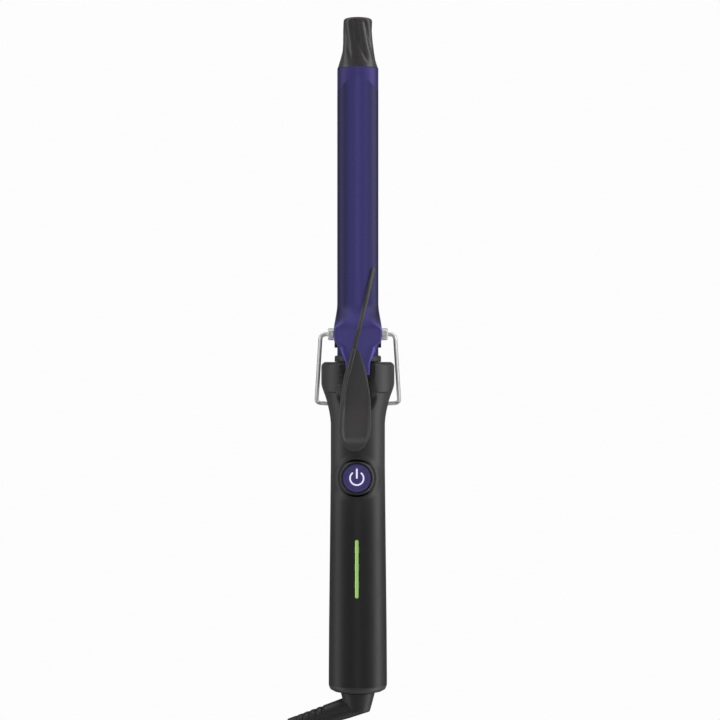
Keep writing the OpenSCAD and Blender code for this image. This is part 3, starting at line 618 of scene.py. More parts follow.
def lens_material():
    """Lit green light guide: yellower and brighter along its left edge."""
    n = Nodes("light_lens")
    across = n.part(n.coords(), "X")
    edge = n.step(across, (FACE_X - 0.75) * MM, (FACE_X - 0.25) * MM)
    cloud = n.noise(500, 2)
    glow = n.blend(edge, (0.50, 0.70, 0.30), (0.20, 0.38, 0.08))
    glow = n.blend(cloud * 0.25, glow, (0.36, 0.62, 0.18))
    return n.surface((0.2, 0.35, 0.1), 0.3, glow=glow, normal=n.bump(cloud, 0.05, 0.0001), Emission_Strength=1.0)


def mark_material():
    n = Nodes("button_mark")
    cloud = n.noise(900, 2)
    # Painted light: the mark glows pale violet-white by its own emission, though it holds no lamp.
    glow = n.blend(cloud, (0.70, 0.66, 0.88), (0.76, 0.73, 0.93))
    return n.surface((0.5, 0.5, 0.6), 0.35, glow=glow, normal=n.bump(cloud, 0.04, 0.0001), Emission_Strength=0.95)


MATERIAL = {
    "handle": handle_material(),
    "trim": plastic("trim_plastic", (0.022, 0.021, 0.022), 0.30, grain=1800),
    "ring": plastic("ring_plastic", (0.075, 0.073, 0.075), 0.45, grain=1800),
    "tip": plastic("heat_plastic", (0.078, 0.073, 0.075), 0.27),
    "bush": plastic("inner_bush_plastic", (0.03, 0.03, 0.03), 0.6, bump=0.1),
    # Both coats carry painted shade towards their sides, by the edge factors 0.5 and 0.26.
    "barrel": violet_coat_painted_shade("barrel_coat", (0.125, 0.098, 0.42), 0.45, 0.45, 0.0105, 0.5, 100),
    "clamp": violet_coat_painted_shade("clamp_coat", (0.122, 0.105, 0.42), 0.42, 0.5, 0.0102, 0.26, PIN.y + 1),
    "lever": plastic("lever_plastic", (0.088, 0.083, 0.087), 0.5, grain=2600),
    "chrome": metal("bright_steel", (0.97, 0.97, 0.98), 0.30, metallic=0.35),
    "wire": metal("stand_steel", (0.95, 0.95, 0.96), 0.24, grain=(400, 60, 60), metallic=0.5),
    "black_steel": metal("black_steel", (0.05, 0.05, 0.052), 0.42, bump=0.08),
    "steel": metal("plain_steel", (0.52, 0.51, 0.50), 0.30),
    "spring": metal("spring_steel", (0.40, 0.39, 0.38), 0.28, grain=(900, 200, 900)),
    "alloy": metal("heater_alloy", (0.62, 0.62, 0.63), 0.38, bump=0.1),
    "ceramic": plastic("heater_ceramic", (0.17, 0.18, 0.20), 0.75, grain=1500, bump=0.3),
    "film": plastic("heater_film", (0.48, 0.22, 0.03), 0.28, grain=600, bump=0.04),
    "wire_cover": plastic("wire_cover", (0.42, 0.02, 0.025), 0.45, grain=1200),
    "parts": plastic("board_components", (0.035, 0.04, 0.045), 0.4, grain=900, bump=0.1),
    "emitter": plastic("light_source", (0.75, 0.72, 0.58), 0.3, grain=900),
    "board": board_material(),
    "lens": lens_material(),
    "violet": plastic("button_violet", (0.09, 0.068, 0.37), 0.38, grain=3000, coat=0.1),
    # Painted highlight: a paler copy of the button violet, for the cap's rounded rim.
    "bevel": plastic("button_bevel_painted_highlight", (0.19, 0.155, 0.50), 0.32, grain=3000, coat=0.2),
    "mark": mark_material(),
    "contact": metal("contact_metal", (0.72, 0.50, 0.20), 0.30),
    "soft": plastic("soft_black", (0.040, 0.038, 0.040), 0.46, grain=1400, bump=0.08),
    "cord": plastic("cord_cover", (0.012, 0.0118, 0.012), 0.42, grain=900, bump=0.08, patch=200),
    "tie": woven("tie_fabric", (0.06, 0.06, 0.062), (0.015, 0.015, 0.016)),
    "plug": plastic("plug_plastic", (0.014, 0.0137, 0.014), 0.40, grain=1600, bump=0.08),
}

FINISH_OF_NODE = {
    "bush": ["barrel_bush"], "steel": ["tip_screw", "shell_screws", "pivot_pin", "board_screws", "lever_rivets"],
    "alloy": ["heater_bars", "tip_plug"], "ceramic": ["heater_stones"], "film": ["heater_insulation"],
    "wire_cover": ["heater_leads"], "chrome": ["thermal_fuse"], "black_steel": ["pivot_bracket"],
    "board": ["circuit_board"], "parts": ["board_parts", "button_switch"], "emitter": ["light_emitters"],
    "contact": ["contact_rings", "contact_brushes"], "spring": ["clamp_spring", "button_spring", "swivel_clip"],
}


def finish_inner_nodes():
    for finish, nodes in FINISH_OF_NODE.items():
        for node in nodes:
            obj = frame["nodes"][node]
            if not obj.material_slots:
                obj.data.materials.append(MATERIAL[finish])
            for slot in obj.material_slots:
                slot.material = MATERIAL[finish]


# ---- Handle ----

HANDLE_PROFILE = [
    (3.03, 13.48), (8, 13.48), (30, 13.33), (60, 13.0), (90, 12.68), (104, 12.53), (123.9, 12.53),
    (126.65, 12.8), (129.4, 13.25), (132.2, 13.9), (134.4, 14.45), (136.4, 15.1), (139.1, 16.09),
    (140.6, 16.6), (141.9, 16.88), (143.5, 16.9), (150.2, 16.9), (151.0, 16.6), (151.6, 16.0), (152.07, 15.3),
]
LOBE_X = (6.4, 15.3)
LOBE_Y = (138.1, 153.5)
LOBE_ROUND = 3.0
CHANNEL_FLOOR = [(126.9, 12.53), (138.1, 10.2), (153, 10.2)]
CHANNEL_LEFT = [(123.9, -9.0), (136.1, -8.8), (145.1, -7.6), (153, -6.6)]
CHANNEL_RIGHT = [(123.9, 7.6), (136.1, 7.6), (143.1, 6.6), (153, 6.6)]
SEAM_DROP = 0.14


def outer_radius(y, angle):
    """Radius of the handle's outside. angle is 0 at the lever side and 90 degrees at the right."""
    base = table(HANDLE_PROFILE, y)
    sin, cos = np.sin(angle), np.cos(angle)
    r = np.full_like(angle, base)
    front = cos > 0
    # Lobes on both sides of the channel
    x = base * sin
    across = np.abs(15.9 * sin)
    middle = (LOBE_X[0] + LOBE_X[1]) / 2, (LOBE_Y[0] + LOBE_Y[1]) / 2
    half = (LOBE_X[1] - LOBE_X[0]) / 2 - LOBE_ROUND, (LOBE_Y[1] - LOBE_Y[0]) / 2 - LOBE_ROUND
    dx = np.maximum(np.abs(across - middle[0]) - half[0], 0)
    dy = max(abs(y - middle[1]) - half[1], 0)
    inside = LOBE_ROUND - np.hypot(dx, dy)
    lobe = np.where(front, smoothstep(-0.25, 0.45, inside), 0)
    rim = float(smoothstep(152.07, 150.2, y)) if y > 150.2 else 1.0
    lobe_r = 16.9 - 1.6 * (1 - rim) ** 2
    r = r + (np.maximum(lobe_r, r) - r) * lobe
    # Channel for the tail of the clamp
    floor = table(CHANNEL_FLOOR, y)
    if y > 125.5:
        wide = 0.5 * (x + floor * sin / np.maximum(cos, 0.2))
        gap = np.minimum(wide - table(CHANNEL_LEFT, y), table(CHANNEL_RIGHT, y) - wide)
        blur = 0.3 + 0.9 * float(smoothstep(139, 134, y))
        hollow = np.where(front, smoothstep(-blur, blur, gap - 0.25), 0) * float(smoothstep(125.5, 129, y))
        r = r + (np.minimum(r, floor / np.maximum(cos, 0.3)) - r) * hollow
    # Soft swelling round the button
    away = np.hypot(x - FACE_X, y - BUTTON_Y)
    swell = 0.55 * np.exp(-(((away - 8.8) / 1.7) ** 2)) * front
    r = r + swell
    # Flat on the back of the collar
    flat = 14.8 / np.maximum(-cos, 0.2)
    ease = float(smoothstep(136.5, 139.5, y))
    r = np.where(cos < -0.2, r + (np.minimum(r, flat) - r) * ease, r)
    # Moulding line between the shells
    seam = np.abs(np.abs(angle) - math.pi / 2) * base
    return r - SEAM_DROP * np.exp(-((seam / 0.22) ** 2))


def shell(name, node, front):
    """One half of the handle: outside, split face and inside."""
    half = 150
    spread = np.linspace(-math.pi / 2, math.pi / 2, half) + (0 if front else math.pi)
    ys = np.unique(np.concatenate([
        np.arange(3.03, 86, 1.5), np.arange(86, 112, 0.5), np.arange(112, 123, 1.4), np.arange(123, 152, 0.27),
        [126.07, 126.13, 150.3, 150.6, 150.9, 151.2, 151.5, 151.8, 152.07],
    ]))
    rings = []
    for y in ys:
        inner = CAVITY_R + 0.03 if y < 126.1 else 10.63
        r = outer_radius(y, np.where(spread > math.pi, spread - 2 * math.pi, spread))
        outside = np.stack([r * np.sin(spread), np.full(half, y), r * np.cos(spread)], axis=1)
        bore = np.stack([inner * np.sin(spread), np.full(half, y), inner * np.cos(spread)], axis=1)
        rings.append(np.vstack([outside, bore[::-1]]))
    return loft(name, rings, "handle", [node], MATERIAL["handle"], sheet=True, sharp=40)


def slot_outline(width, length, corner=14):
    """Corners of a slot with round ends along Y, about its own middle."""
    r, run = width / 2, (length - width) / 2
    around = np.linspace(0, math.pi, corner)
    top = [(r * math.cos(a), run + r * math.sin(a)) for a in around]
    return top + [(-x, -y) for x, y in top]


def make_handle():
    front = shell("handle_front", "handle_front_shell", True)
    hole = cutter("hole", lathe_rings([(8.68, 5), (8.68, 30)], 96, (FACE_X, BUTTON_Y), "z"))
    outline = slot_outline(LIGHT_W + 0.5, LIGHT_LEN + 0.5)
    slot = cutter("slot", [[(FACE_X + x, LIGHT_Y + y, z) for x, y in outline] for z in (6, 30)])
    cut(front, [hole, slot])
    back = shell("handle_back", "handle_back_shell", False)
    wells = [
        cutter("well", lathe_rings([(2.2, -30), (2.2, -6.6)], 32, (x, y), "z"))
        for y in (22, 86) for x in (-7.53, 7.53)
    ]
    cut(back, wells)
    lathe(
        "end_cap",
        [(5.08, 0.35), (5.4, 0.06), (6, 0), (10.5, 0), (10.9, 0.08), (12.1, 0.72), (12.6, 1.0), (12.85, 1.35),
         (13.22, 2.2), (13.33, 2.6), (13.33, 2.97), (10.4, 2.98), (10.4, 6.2), (10.2, 6.4), (5.3, 6.4), (5.08, 6.2)],
        "handle", ["end_cap"], MATERIAL["ring"], turns=128, closed=True,
    )
    r = RING_R
    lathe(
        "base_ring",
        [(9.53, 152.13), (r - 0.2, 152.13), (r, 152.4), (r, 154.3), (r - 0.15, 154.75), (r - 0.6, 155.05),
         (9.8, 155.07), (9.53, 154.9)],
        "handle", ["base_ring"], MATERIAL["ring"], turns=128, closed=True,
    )


# ---- Barrel and tip ----

TIP_PROFILE = [
    (287.8, 9.4), (288.6, 9.05), (289.8, 8.72), (291.7, 8.2), (294, 7.72), (296.3, 7.35), (299.5, 6.95),
    (302.8, 6.8), (306, 6.76), (309.0, 6.72), (309.9, 6.6), (310.4, 6.3), (310.8, 5.6), (311.1, 4.4), (311.25, 2.6),
    (311.3, 0.02),
]
TIP_FLUTES = 7


def make_barrel():
    r = BARREL_R
    lathe(
        "barrel_tube", tube_profile(128.13, BARREL_END, r, r - 1, 0.25), "handle", ["barrel"],
        MATERIAL["barrel"], turns=160, closed=True,
    )
    around = 216
    a = np.linspace(0, 2 * math.pi, around, endpoint=False)
    rings = []
    stations = np.concatenate([np.linspace(287.8, 308.6, 60, endpoint=False), np.linspace(308.6, 311.3, 18)])
    for y in stations:
        t = (y - 287.8) / 23.5
        base = table(TIP_PROFILE, y)
        depth = 0.62 * float(smoothstep(0, 0.3, t)) * (1 - float(smoothstep(0.86, 0.97, t)))
        wave = np.abs(np.sin(0.5 * TIP_FLUTES * (a + math.radians(70) * t)))
        r = base - depth * (1 - wave)
        rings.append(np.stack([r * np.cos(a), np.full(around, y), -r * np.sin(a)], axis=1))
    loft("cool_tip_skin", rings, "handle", ["cool_tip"], MATERIAL["tip"], sharp=60)


# ---- Clamp ----

# Station along the iron from the pin, share of the hump's arch, its half width, skirt height,
# top height and squareness. The jaw, ahead of these rows, is an arc round the barrel.
HUMP_ROWS = [
    (14, 0, 11, 4, 15.0, 5), (12.5, 0.05, 11, 4, 15.0, 5), (11, 0.16, 11, 4, 15.0, 5),
    (9, 0.36, 11, 4, 15.1, 5), (7, 0.6, 11, 4, 15.2, 5), (5, 0.82, 11, 4, 15.35, 8),
    (3.6, 0.94, 11, 4, 15.45, 12), (2.6, 1, 11, 4, 15.55, 20), (-3.2, 1, 11, 4, 16.1, 20),
    (-5.6, 1, 8.95, 7.5, 16.2, 5), (-7.8, 1, 8.05, 11, 16.2, 4), (-10, 1, 7.05, 13.6, 16.2, 3),
    (-12.8, 1, 5.65, 14.6, 16.1, 2.5), (-18.7, 1, 5.35, 14.7, 16.1, 2.5),
]
JAW_END = 6.6
JAW_END_Y = 283.4


def hump_row(along):
    return [table(HUMP_ROWS, along, column) for column in range(1, 6)]


def arch_points(half_deg, row, inset, u):
    """Cross section of the plate at shares u from -1 to 1 of its width."""
    share, wide, skirt, top, square = row
    s, c = np.sin(np.radians(90 * u)), np.cos(np.radians(90 * u))
    r = JAW_R - inset
    jaw = r * np.sin(np.radians(half_deg * u)), r * np.cos(np.radians(half_deg * u))
    hump = (
        (wide - inset) * np.sign(s) * np.abs(s) ** (2 / square),
        skirt + (top - skirt - inset) * np.where(np.abs(u) > 0.9999, 0, np.abs(c) ** (2 / square)),
    )
    return jaw[0] + (hump[0] - jaw[0]) * share, jaw[1] + (hump[1] - jaw[1]) * share


def jaw_half_at(t):
    """Half angle of the jaw's arc at a share t of its tapered end."""
    return math.degrees(math.asin(math.sin(math.radians(JAW_HALF)) * max(0.0, 1 - t) ** 0.6))


def plate_stations():
    shares = np.sin(np.linspace(0.03, 1, 30)[::-1] * math.pi / 2) * 0.998
    ends = [(JAW_END_Y - JAW_END + JAW_END * t, jaw_half_at(t)) for t in shares]
    middle = [(y, JAW_HALF) for y in np.arange(JAW_END_Y - JAW_END, PIN.y + 15.5, -1.6)]
    hump = [(y, JAW_HALF) for y in np.arange(PIN.y + 15.5, PIN.y - 18.7, -0.3)]
    return (ends + middle + hump + [(PIN.y - 18.7, JAW_HALF)])[::-1]


def smooth_rows(values, reach):
    """A running mean that leaves the ends in place."""
    v = np.array(values, float)
    for _ in range(reach):
        v[1:-1] = (v[:-2] + 2 * v[1:-1] + v[2:]) / 4
    return v


def make_clamp():
    stations = plate_stations()
    rows = smooth_rows([hump_row(y - PIN.y) for y, _ in stations], 8)
    u = np.linspace(-1, 1, 81)
    rings = []
    for (y, half), row in zip(stations, rows):
        xo, zo = arch_points(half, row, 0, u)
        xi, zi = arch_points(half, row, PLATE_T, u)
        # Round over both long edges
        for x, z, other_x, other_z in ((xo, zo, xi, zi), (xi, zi, xo, zo)):
            for k in (0, -1):
                x[k] += (other_x[k] - x[k]) * 0.28
                z[k] += (other_z[k] - z[k]) * 0.28
        outside = np.stack([xo, np.full(81, y), zo], axis=1)
        inside = np.stack([xi, np.full(81, y), zi], axis=1)
        rings.append(np.vstack([outside, inside[::-1]]))
    loft("clamp_plate_skin", rings, "clamp", ["clamp_plate"], MATERIAL["clamp"], sheet=True, sharp=50)


def plate_height(x, y):
    """Height of the outside of the plate above a place, read off its cross section."""
    row = hump_row(y - PIN.y)
    u = np.linspace(-0.97, 0.97, 241)
    px, pz = arch_points(JAW_HALF, row, 0, u)
    return float(np.interp(x, px, pz))


# Station from the pin, centre, half width, underside and top, from the highest line of the hump
LEVER_ROWS = [
    (-7.0, -0.4, 0.3, -0.25, 0.15), (-7.6, -0.42, 0.9, -0.25, 0.32), (-9.5, -0.6, 1.9, -0.35, 0.6),
    (-12.5, -0.9, 3.2, -0.5, 0.95), (-15.5, -1.05, 4.35, -0.55, 1.3), (-21, -1.05, 5.6, -0.2, 2.1),
    (-26.8, -1.06, 6.5, 1.4, 3.7), (-32, -1.1, 7.05, 3.4, 5.8), (-37.1, -1.2, 7.3, 5.8, 8.3),
    (-41, -1.35, 7.4, 7.6, 10.1), (-44.3, -1.5, 7.2, 9.2, 11.6), (-47.3, -1.55, 6.5, 10.6, 12.9),
    (-49.5, -1.5, 5.3, 11.5, 13.5), (-51.2, -1.44, 4.0, 12.1, 13.5), (-52.3, -1.4, 2.6, 12.4, 13.3),
    (-52.9, -1.4, 1.0, 12.7, 13.0),
]
SPINE = [
    (7.4, 30.9), (5.9, 24.7), (4.5, 18.6), (3.0, 12.5), (1.9, 8.0), (0.9, 3.7), (-0.2, -0.7), (-1.25, -5.1),
    (-2.5, -10.2), (-3.6, -15.2), (-4.9, -20.5), (-5.9, -26.0), (-6.6, -31.0), (-7.0, -36.0),
]


def lever_row(along):
    return [table(LEVER_ROWS, along, column) for column in range(1, 5)]


def make_lever():
    top = HUMP_TOP
    alongs = np.concatenate([np.linspace(-7.0, -50, 110, endpoint=False), np.linspace(-50, -52.9, 22)])
    rows = smooth_rows([lever_row(a) for a in alongs], 3)
    a = np.linspace(0, 2 * math.pi, 72, endpoint=False)
    rings = []
    for along, (xc, wide, low, high) in zip(alongs, rows):
        s, c = np.sin(a), np.cos(a)
        mid, tall = top + (low + high) / 2, (high - low) / 2
        x = xc + wide * np.sign(c) * np.abs(c) ** 0.55
        z = mid + tall * np.sign(s) * np.abs(s) ** 0.55
        # Dished where the thumb rests, which leaves a wider lip on the left and at the end
        dish = 1.1 * float(smoothstep(-20, -36, along)) * (1 - float(smoothstep(-46.5, -50.0, along)))
        across = np.abs(x - xc - 0.07 * wide) / max(wide * 0.88, 0.1)
        z = z - dish * np.where(s > 0, 1 - smoothstep(0.8, 1.0, across), 0)
        rings.append(np.stack([x, np.full(len(a), PIN.y + along), z], axis=1))
    loft("thumb_lever_top", rings, "clamp", ["thumb_lever"], MATERIAL["lever"], sharp=55)

    path = through([(x, along, 0) for x, along in SPINE], 150)
    rings = []
    half = [(1, -0.35), (0.93, 0.1), (0.72, 0.55), (0.4, 0.78)]
    shape = [(-x, z) for x, z in half] + [(0, 0.85)] + half[::-1]
    for i, (x, along, _) in enumerate(path):
        share = i / (len(path) - 1)
        taper = float(smoothstep(-0.01, 0.02, share)) * (1 - float(smoothstep(0.9, 1.0, share)))
        w = 1.15 * (0.25 + 0.75 * taper) * (1 - 0.35 * float(smoothstep(0.6, 0.85, share)))
        y = PIN.y + along
        ring = []
        for across, up in shape:
            px = x + w * across
            seat = plate_height(px, y)
            if along < -7.0:
                xc, wide, _, high = lever_row(along)
                k = min(1.0, abs(px - xc) / max(wide, 0.2))
                lever_top = top + high - 0.9 * max(0.0, k - 0.75) ** 1.3
                seat = max(seat, lever_top) if along > -14 else lever_top
            ring.append((px, y, seat + up * (0.75 * taper + 0.12)))
        rings.append(ring)
    loft("lever_spine", rings[::-1], "clamp", None, MATERIAL["lever"], sharp=55, slot=SLOT_OF["thumb_lever"])


# ---- Pivot and stand ----

STUB_X = (11.1, 13.68)
STUB_R = 2.75
WIRE_R = 0.95
LEG_X = (17.0, 19.4)
LEG_LENGTH = 42.3
FOLD = math.radians(41)
BOW = 0.6


def rounded_corner(a, b, c, reach, steps=14):
    u, v = (np.array(a) - b), (np.array(c) - b)
    p, q = b + u / np.linalg.norm(u) * reach, b + v / np.linalg.norm(v) * reach
    return [(1 - t) ** 2 * p + 2 * t * (1 - t) * np.array(b) + t * t * q for t in np.linspace(0, 1, steps)]


def wire_path():
    """Half of the wire in the plane of the stand, then its mirror image: across, and away from the pivot."""
    places = (STUB_X[1] - 1.5, 0), (LEG_X[0], 0), (LEG_X[1], LEG_LENGTH), (0, LEG_LENGTH + BOW)
    corners = [np.array(p, float) for p in places]
    half = [corners[0]] + rounded_corner(*corners[:3], 3.0) + rounded_corner(*corners[1:], 2.4)
    half += [np.array((x, LEG_LENGTH + BOW * (1 - (x / LEG_X[1]) ** 2))) for x in (15, 12, 9, 6, 3)]
    flat = half + [np.array((0, LEG_LENGTH + BOW))] + [p * (-1, 1) for p in half[::-1]]
    return evenly([(p[0], PIN.y - p[1] * math.cos(FOLD), PIN.z - p[1] * math.sin(FOLD)) for p in flat], 0.4)


def make_pivot():
    a, b = STUB_X
    for side, node in ((-1, "pivot_cap_left"), (1, "pivot_cap_right")):
        profile = [
            (1.55, a), (STUB_R - 0.15, a), (STUB_R, a + 0.15), (STUB_R, b - 0.55), (STUB_R - 0.12, b - 0.25),
            (STUB_R - 0.42, b - 0.05), (STUB_R - 0.8, b), (1.25, b), (1.05, b - 0.12), (1.0, b - 0.5),
            (1.0, b - 1.6), (1.0, a + 1.0), (1.55, a + 0.9),
        ]
        rings = np.array(lathe_rings(profile, 64, (PIN.y, PIN.z), "x"))
        rings[:, :, 0] *= side
        loft(node + "_turned", rings, "handle", [node], MATERIAL["chrome"], closed=True)
    bent = sweep_rings(wire_path(), WIRE_R, 24)
    loft("stand_wire_bent", bent, "stand", ["stand_wire"], MATERIAL["wire"], sharp=60)


# ---- Button and light ----


def rounded_strip(path, wide, low, high, round_over=0.12):
    """A strip along a flat path, with its upper edges rounded."""
    p = np.array(path, float)
    t = np.gradient(p, axis=0)
    t /= np.linalg.norm(t, axis=1)[:, None]
    side = np.stack([-t[:, 1], t[:, 0]], axis=1)
    h = wide / 2
    section = [(-h, low), (-h, high - round_over), (-h + round_over * 0.3, high - round_over * 0.3),
               (-h + round_over, high), (h - round_over, high), (h - round_over * 0.3, high - round_over * 0.3),
               (h, high - round_over), (h, low)]
    return [[(*(q + s * across), z) for across, z in section] for q, s in zip(p, side)]


def make_button():
    at = (FACE_X, BUTTON_Y)
    z = CAP_TOP
    lathe(
        "button_bezel_ring",
        [(5.85, 8.2), (8.6, 8.2), (8.65, 8.3), (8.65, 11.55), (8.55, 11.8), (7.75, 12.95), (7.45, 13.32),
         (7.2, 13.47), (7.0, 13.45), (6.86, 13.3), (6.85, 13.1), (6.85, 9.25), (6.8, 9.18), (5.9, 9.18),
         (5.85, 9.1)],
        "handle", ["button_bezel"], MATERIAL["trim"], turns=144, centre=at, axis="z", closed=True,
    )
    r = BUTTON_R
    cap = lathe(
        "button_cap_disc",
        [(0.01, 10.08), (r - 0.1, 10.08), (r, 10.2), (r, z - 0.62), (r - 0.06, z - 0.5), (r - 0.2, z - 0.42),
         (5.62, z - 0.08), (5.45, z - 0.02), (5.2, z), (2.0, z - 0.02), (0.01, z - 0.03)],
        "power_button", ["button_cap"], MATERIAL["violet"], turns=144, centre=at, axis="z",
    )
    # The cap's rounded rim takes the paler violet, as a painted highlight.
    cap.data.materials.append(MATERIAL["bevel"])
    for face in cap.data.polygons:
        own = local(face.center)
        away = math.hypot(own.x - FACE_X, own.y - BUTTON_Y)
        if away > 5.5 and own.z > z - 0.7:
            face.material_index = 1
    turn = np.linspace(math.radians(36), math.radians(324), 90)
    arc = [(FACE_X + 3.1 * math.sin(a), BUTTON_Y + 3.1 * math.cos(a)) for a in turn]
    bar = [(FACE_X, BUTTON_Y - 0.1 + 4.5 * t) for t in np.linspace(0, 1, 10)]
    mark = gather(rounded_strip(path, wide, z - 0.28, z + 0.02, 0.08) for path, wide in ((arc, 0.72), (bar, 0.82)))
    finish_mesh("button_mark_inlay", *mark, "power_button", ["button_symbol"], MATERIAL["mark"])
    make_light_guide()


def make_light_guide():
    """The light bar stands a little proud of the handle and follows its round face."""

    def ring(narrower, rise, share=1, shorter=1):
        made = []
        for x, y in slot_outline(LIGHT_W - narrower, LIGHT_LEN - narrower, 18):
            y = LIGHT_Y + y * shorter
            radius = table(HANDLE_PROFILE, y) + rise
            made.append((FACE_X + x * share, y, math.sqrt(radius**2 - ((FACE_X + x) * share) ** 2)))
        return made

    low = [(FACE_X + x, LIGHT_Y + y, 7.7) for x, y in slot_outline(LIGHT_W, LIGHT_LEN, 18)]
    rings = [low, ring(0, -0.08), ring(0.08, 0.04), ring(0.3, 0.12), ring(0.3, 0.12, 0.5, 0.999)]
    count = len(low)
    verts = [p for r in rings for p in r]
    faces = ring_faces(len(rings), count, ends=False) + [tuple(range(count))]
    last = (len(rings) - 1) * count
    faces += [(last + k, last + k + 1, last + count - 2 - k, last + count - 1 - k) for k in range(count // 2 - 1)]
    finish_mesh("light_guide", verts, faces, "handle", ["light_bar"], MATERIAL["lens"], sharp=70)


# ---- Swivel and strain relief ----

RELIEF_R = (4.8, 3.6)
RELIEF_SLOTS = 5
SLOT_START, SLOT_PITCH, SLOT_WIDE = 15.4, 3.1, 1.3


def relief_matrix():
    """From a place along, up and beside the strain relief to the iron's own frame."""
    side = Vector((0, 0, 1)).cross(RELIEF_DIRECTION)
    turn = Matrix((RELIEF_DIRECTION, side, Vector((0, 0, 1)))).transposed().to_4x4()
    return LYING @ Matrix.Translation((0, ELBOW_Y, 0)) @ turn


def make_swivel():
    """The turning elbow is a cone and the root of the strain relief, run together by a fine remesh."""
    body = lathe_rings(
        [(0.01, -9.7), (4.2, -9.7), (5.0, -9.55), (5.5, -9.2), (5.8, -8.6), (7.9, -0.75), (7.85, -0.5),
         (7.5, -0.35), (5.05, -0.3), (5.0, -0.1), (5.0, 7.2), (4.3, 7.25), (4.3, 8.75), (5.0, 8.8), (5.0, 15.0),
         (0.01, 15.0)],
        96,
    )
    elbow = loft("swivel_elbow_form", body, None, None, MATERIAL["soft"])
    boss = lathe_rings([(0.01, -4.2), (4.9, -4.2), (4.87, 6.2), (0.01, 6.28)], 72, axis="x")
    side = loft("boss", boss, None, None, MATERIAL["soft"], at=relief_matrix())
    join = elbow.modifiers.new("join", "BOOLEAN")
    join.operation, join.solver, join.object = "UNION", "EXACT", side
    fine = elbow.modifiers.new("fine", "REMESH")
    fine.mode, fine.voxel_size = "VOXEL", 0.00022
    ease = elbow.modifiers.new("ease", "SMOOTH")
    ease.factor, ease.iterations = 0.5, 9
    mesh = evaluated(elbow)
    bpy.data.objects.remove(elbow)
    bpy.data.objects.remove(side)
    finish_object("swivel_elbow_moulded", mesh, "swivel", ["swivel_elbow"], MATERIAL["soft"], sharp=80)


def make_relief():
    """The sleeve starts inside the elbow and is slotted on both sides of a spine."""
    around = 96
    a = np.linspace(0, 2 * math.pi, around, endpoint=False)
    rings = []
    for t in np.concatenate([[4.6, 4.75], np.arange(4.9, 33.2, 0.13), [33.28]]):
        r = RELIEF_R[0] + 0.12 + (RELIEF_R[1] - RELIEF_R[0] - 0.12) * (t - 4.6) / 28.7 - 0.5 * max(0.0, 4.75 - t)
        if t > 32.7:
            r -= 0.5 * ((t - 32.7) / 0.58) ** 2
        outside = np.full(around, r)
        for k in range(RELIEF_SLOTS):
            middle = SLOT_START + SLOT_WIDE / 2 + k * SLOT_PITCH
            along = float(smoothstep(SLOT_WIDE / 2 + 0.12, SLOT_WIDE / 2 - 0.12, abs(t - middle)))
            if along > 0:
                side = np.abs(np.cos(a))
                slot = along * smoothstep(0.42, 0.5, side) * (1 - 0.8 * smoothstep(0.9, 0.98, side))
                outside = outside - (r - 3.2) * slot
        rings.append(np.stack([np.full(around, t), outside * np.cos(a), outside * np.sin(a)], axis=1))
    return loft(
        "strain_relief_sleeve", rings, "swivel", ["strain_relief"], MATERIAL["soft"], at=relief_matrix(), sharp=45
    )


# ---- Repeated details, by Geometry Nodes ----


def repeat(name, item, count, start, step, material, body):
    """Copies of item along a straight line, made into one plain mesh. Places are in metres."""
    group = bpy.data.node_groups.new(name + "_nodes", "GeometryNodeTree")
    kinds = {"Geometry": "Geometry", "Count": "Int", "Start": "Vector", "Step": "Vector", "Material": "Material"}
    for label, kind in kinds.items():
        group.interface.new_socket(label, in_out="INPUT", socket_type="NodeSocket" + kind)
    group.interface.new_socket("Geometry", in_out="OUTPUT", socket_type="NodeSocketGeometry")
    nodes = group.nodes
    enter, leave = nodes.new("NodeGroupInput"), nodes.new("NodeGroupOutput")
    line, places, real, paint = (
        nodes.new("GeometryNode" + kind) for kind in ("MeshLine", "InstanceOnPoints", "RealizeInstances", "SetMaterial")
    )
    line.mode = "OFFSET"
    for out, target in (
        (enter.outputs["Count"], line.inputs["Count"]),
        (enter.outputs["Start"], line.inputs["Start Location"]),
        (enter.outputs["Step"], line.inputs["Offset"]),
        (line.outputs[0], places.inputs["Points"]),
        (enter.outputs["Geometry"], places.inputs["Instance"]),
        (places.outputs[0], real.inputs[0]),
        (real.outputs[0], paint.inputs["Geometry"]),
        (enter.outputs["Material"], paint.inputs["Material"]),
        (paint.outputs[0], leave.inputs[0]),
    ):
        group.links.new(out, target)
    made = item.modifiers.new("repeat", "NODES")
    made.node_group = group
    keys = {s.name: s.identifier for s in group.interface.items_tree if s.in_out == "INPUT"}
    for label, value in (("Count", count), ("Start", start), ("Step", step), ("Material", material)):
        made[keys[label]] = value
    mesh = evaluated(item)
    bpy.data.objects.remove(item)
    return finish_object(name, mesh, body, None, material, sharp=50)


def small_bar(name, size, round_over):
    """A bar with rounded ends and edges, about the origin, in metres; its length is along X."""
    length, wide, tall = (s * MM for s in size)
    bm = bmesh.new()
    bmesh.ops.create_cube(bm, size=1.0)
    bmesh.ops.scale(bm, vec=(length, wide, tall), verts=bm.verts)
    bmesh.ops.bevel(bm, geom=bm.edges[:], offset=round_over * MM, segments=3, profile=0.5, affect="EDGES")
    mesh = bpy.data.meshes.new(name)
    bm.to_mesh(mesh)
    bm.free()
    return linked(name, mesh)


# ---- Plug and tie ----

PLUG_X, PLUG_Y, PLUG_Z = -31.0, -236.0, 26.4
PLUG_LENGTH = 36.0


def stadium(wide, tall, around):
    """Points of a round-ended outline, evenly by angle of its ends."""
    r = tall / 2
    run = max(wide / 2 - r, 0.001)
    a = np.linspace(0, 2 * math.pi, around, endpoint=False)
    return np.stack([r * np.cos(a) + run * np.tanh(np.cos(a) * 8), r * np.sin(a)], axis=1)


